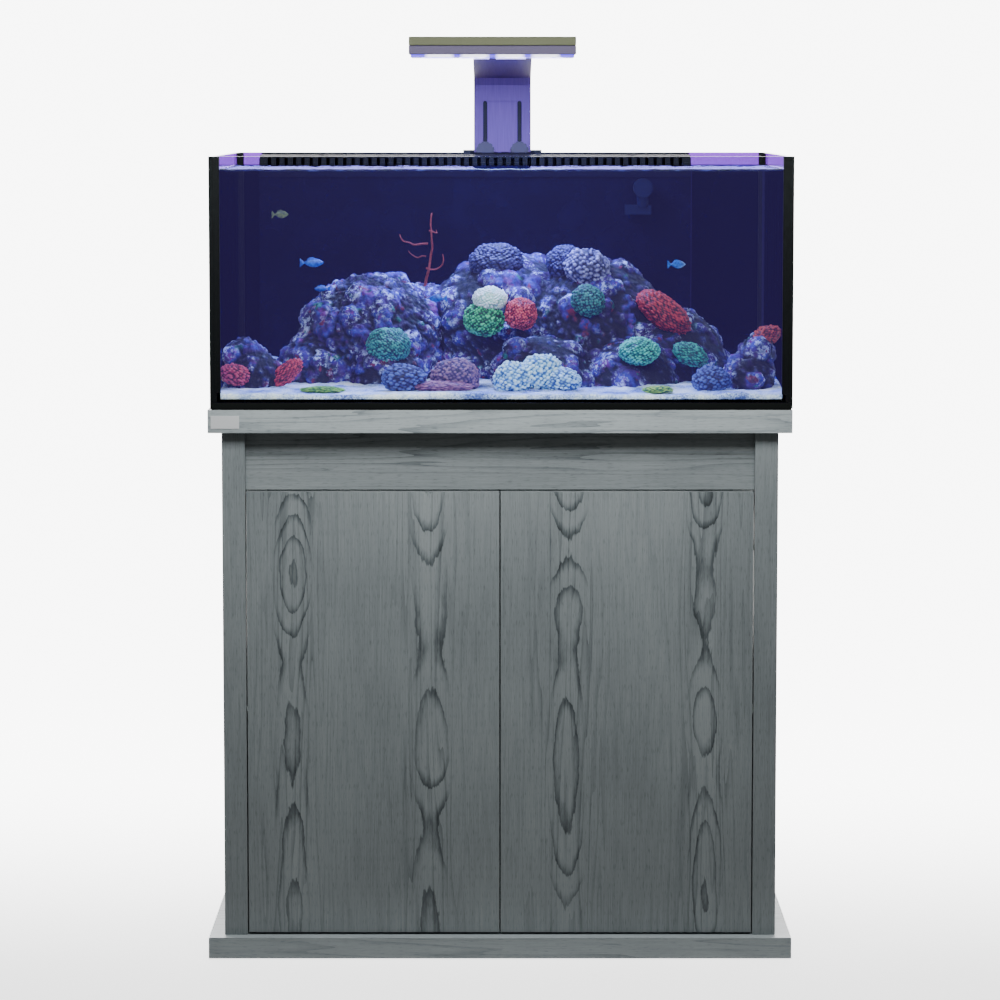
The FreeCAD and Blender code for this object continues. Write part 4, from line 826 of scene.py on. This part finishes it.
# ---- Fish ------------------------------------------------------------------------------------
# Small blue reef fish and one olive one. A body is a tapering oval tube, flattened sideways,
# which spreads again into the tail; fins are thin leaves.
FISH = (
    # length, place, heading in degrees about Z, body, belly
    (0.038, (-0.300, -0.100, 1.083), 5, "#06309c", "#1f6ae0"),
    (0.026, (-0.285, -0.060, 1.040), 190, "#062c90", "#1c60d0"),
    (0.030, (-0.098, -0.180, 1.030), 170, "#06309c", "#1f6ae0"),
    (0.034, (0.284, -0.040, 1.078), 30, "#0648b0", "#2c8cf0"),
    (0.034, (-0.360, 0.080, 1.155), 40, "#2c3414", "#6a7030"),
)


def fish_shells(length, centre, heading):
    """Body half-height follows sin(pi t)^0.8 to the tail root and then spreads to the tail fin;
    half-width is about a third of it."""
    t = np.linspace(0.0, 1.0, 40)
    body = np.sin(math.pi * np.clip(t / 0.82, 0, 1)) ** 0.8 * 0.19
    tail = np.clip((t - 0.80) / 0.20, 0, 1) * 0.17
    half = np.maximum(body, 0.022) + tail
    wide = np.maximum(body * 0.42, 0.006)
    turn = np.linspace(0, 2 * math.pi, 20, endpoint=False)
    rings = np.stack([np.repeat((0.5 - t)[:, None], 20, axis=1), wide[:, None] * np.cos(turn),
                      half[:, None] * np.sin(turn)], axis=-1)
    fin_t = np.linspace(0, 1, 12)
    fin = np.stack([np.repeat((0.22 - 0.42 * fin_t)[:, None], 8, axis=1),
                    0.006 * np.cos(np.linspace(0, 2 * math.pi, 8, endpoint=False))[None, :] * np.ones((12, 1)),
                    0.13 + (0.10 * np.sin(math.pi * fin_t) ** 0.6)[:, None]
                    * (0.5 + 0.5 * np.sin(np.linspace(0, 2 * math.pi, 8, endpoint=False)))[None, :]], axis=-1)
    angle = math.radians(heading)
    turned = np.array([[math.cos(angle), math.sin(angle), 0], [-math.sin(angle), math.cos(angle), 0],
                       [0, 0, 1]])
    return [capped(rings @ turned * length + centre), capped(fin @ turned * length + centre)]


for number, (length, centre, heading, back, belly) in enumerate(FISH):
    scales = moulded(f"fish_scales_{number}", back, belly, 0.35, 0.004)
    piece(f"fish_{number}", fish_shells(length, np.array(centre), heading), scales, "stand", "coral")

# ---- Lamp ------------------------------------------------------------------------------------
# A slim anodised housing over four lens blocks. It hangs on a bent plate whose two slots run on
# thumb screws in a black bracket, hooked over the rear pane.
anodised_top = moulded("olive_anodised_cover", "#474d2a", "#525834", 0.5, 0.0012, Metallic=0.1)
coat(anodised_top, "lamp_cover")
coat(moulded("grey_anodised_body", "#403759", "#4b4265", 0.5, 0.0012, Metallic=0.1), "lamp_body")
coat(moulded("white_led_board", "#dfe0ea", "#f2f2fa", 0.5), "led_board")
soften(0.0012, "lamp_cover", "lamp_body")
arm_metal, arm_tree, arm_shader = finish_of("brushed_anodised_arm", Roughness=0.6, Specular_IOR_Level=0.1)
arm_at = add(arm_tree, "TexCoord").outputs["Object"]
arm_brushed = add(arm_tree, "Mapping", {0: arm_at, 3: (900, 20, 20)})
arm_lines = add(arm_tree, "TexNoise", {"Vector": arm_brushed.outputs[0], "Scale": 1.0, "Detail": 2.0})
arm_tint = ramp(arm_tree, arm_lines.outputs[0], (0.3, "#49365d"), (0.7, "#543d68"))
arm_tree.links.new(arm_tint.outputs[0], arm_shader.inputs["Base Color"])
coat(arm_metal, "lamp_arm")
soften(0.0006, "lamp_arm")
coat(moulded("black_powder_coat", "#08080c", "#0e0e14", 0.7, 0.0008, Specular_IOR_Level=0.2),
     "clamp_bracket", "cable_gland")
coat(moulded("black_thumb_knob", "#0c0a1c", "#151230", 0.45, Specular_IOR_Level=0.3),
     "thumb_knob_left", "thumb_knob_right")

lens_light, lens_tree, lens_shader = finish_of("lit_lens_blocks", Roughness=0.2)
lens_at = add(lens_tree, "TexCoord").outputs["Object"]
lens_cells = add(lens_tree, "TexVoronoi", {"Vector": lens_at, "Scale": 90.0})
lens_tint = ramp(lens_tree, lens_cells.outputs[0], (0.0, "#ffffff"), (0.45, "#c8c4ff"), (0.8, "#7d6cf0"))
lens_tree.links.new(lens_tint.outputs[0], lens_shader.inputs["Base Color"])
lens_tree.links.new(lens_tint.outputs[0], lens_shader.inputs["Emission Color"])
lens_shader.inputs["Emission Strength"].default_value = 3.0
coat(lens_light, "lamp_lenses")

# The trim round the lenses is a frosted frame, white where a lens lights it and violet between.
LENS_BLOCKS = 4
lens_low, lens_high = place["lamp_lenses"]
trim, trim_tree, trim_shader = finish_of("frosted_lens_trim", Roughness=0.5)
trim_x = add(trim_tree, "SeparateXYZ", {0: add(trim_tree, "TexCoord").outputs["Object"]}).outputs[0]
block = add(trim_tree, "MapRange", {"Value": trim_x, "From Min": lens_low[0], "From Max": lens_high[0],
                                    "To Max": LENS_BLOCKS})
from_middle = maths_in(trim_tree, "ABSOLUTE", maths_in(
    trim_tree, "SUBTRACT", maths_in(trim_tree, "FRACT", block.outputs[0]), 0.5))
trim_tint = ramp(trim_tree, from_middle, (0.30, "#f0f0ff"), (0.44, "#4a34c8"))
trim_tree.links.new(trim_tint.outputs[0], trim_shader.inputs["Base Color"])
trim_tree.links.new(trim_tint.outputs[0], trim_shader.inputs["Emission Color"])
trim_shader.inputs["Emission Strength"].default_value = 2.0
coat(trim, "lens_frame")

lens_middle = (lens_low + lens_high) / 2
soft_light("reef_light", 0.24, 0.24, 12.5, (lens_middle[0], lens_middle[1], lens_low[2] - 0.004),
           (lens_middle[0], lens_middle[1], 0), "#a4b4ff")
soft_light("violet_spill", 0.10, 0.10, 0.12, (lens_middle[0] + 0.016, 0.12, lens_low[2] - 0.02),
           (lens_middle[0] + 0.016, 0.30, RIM + 0.09), "#5a2cff")
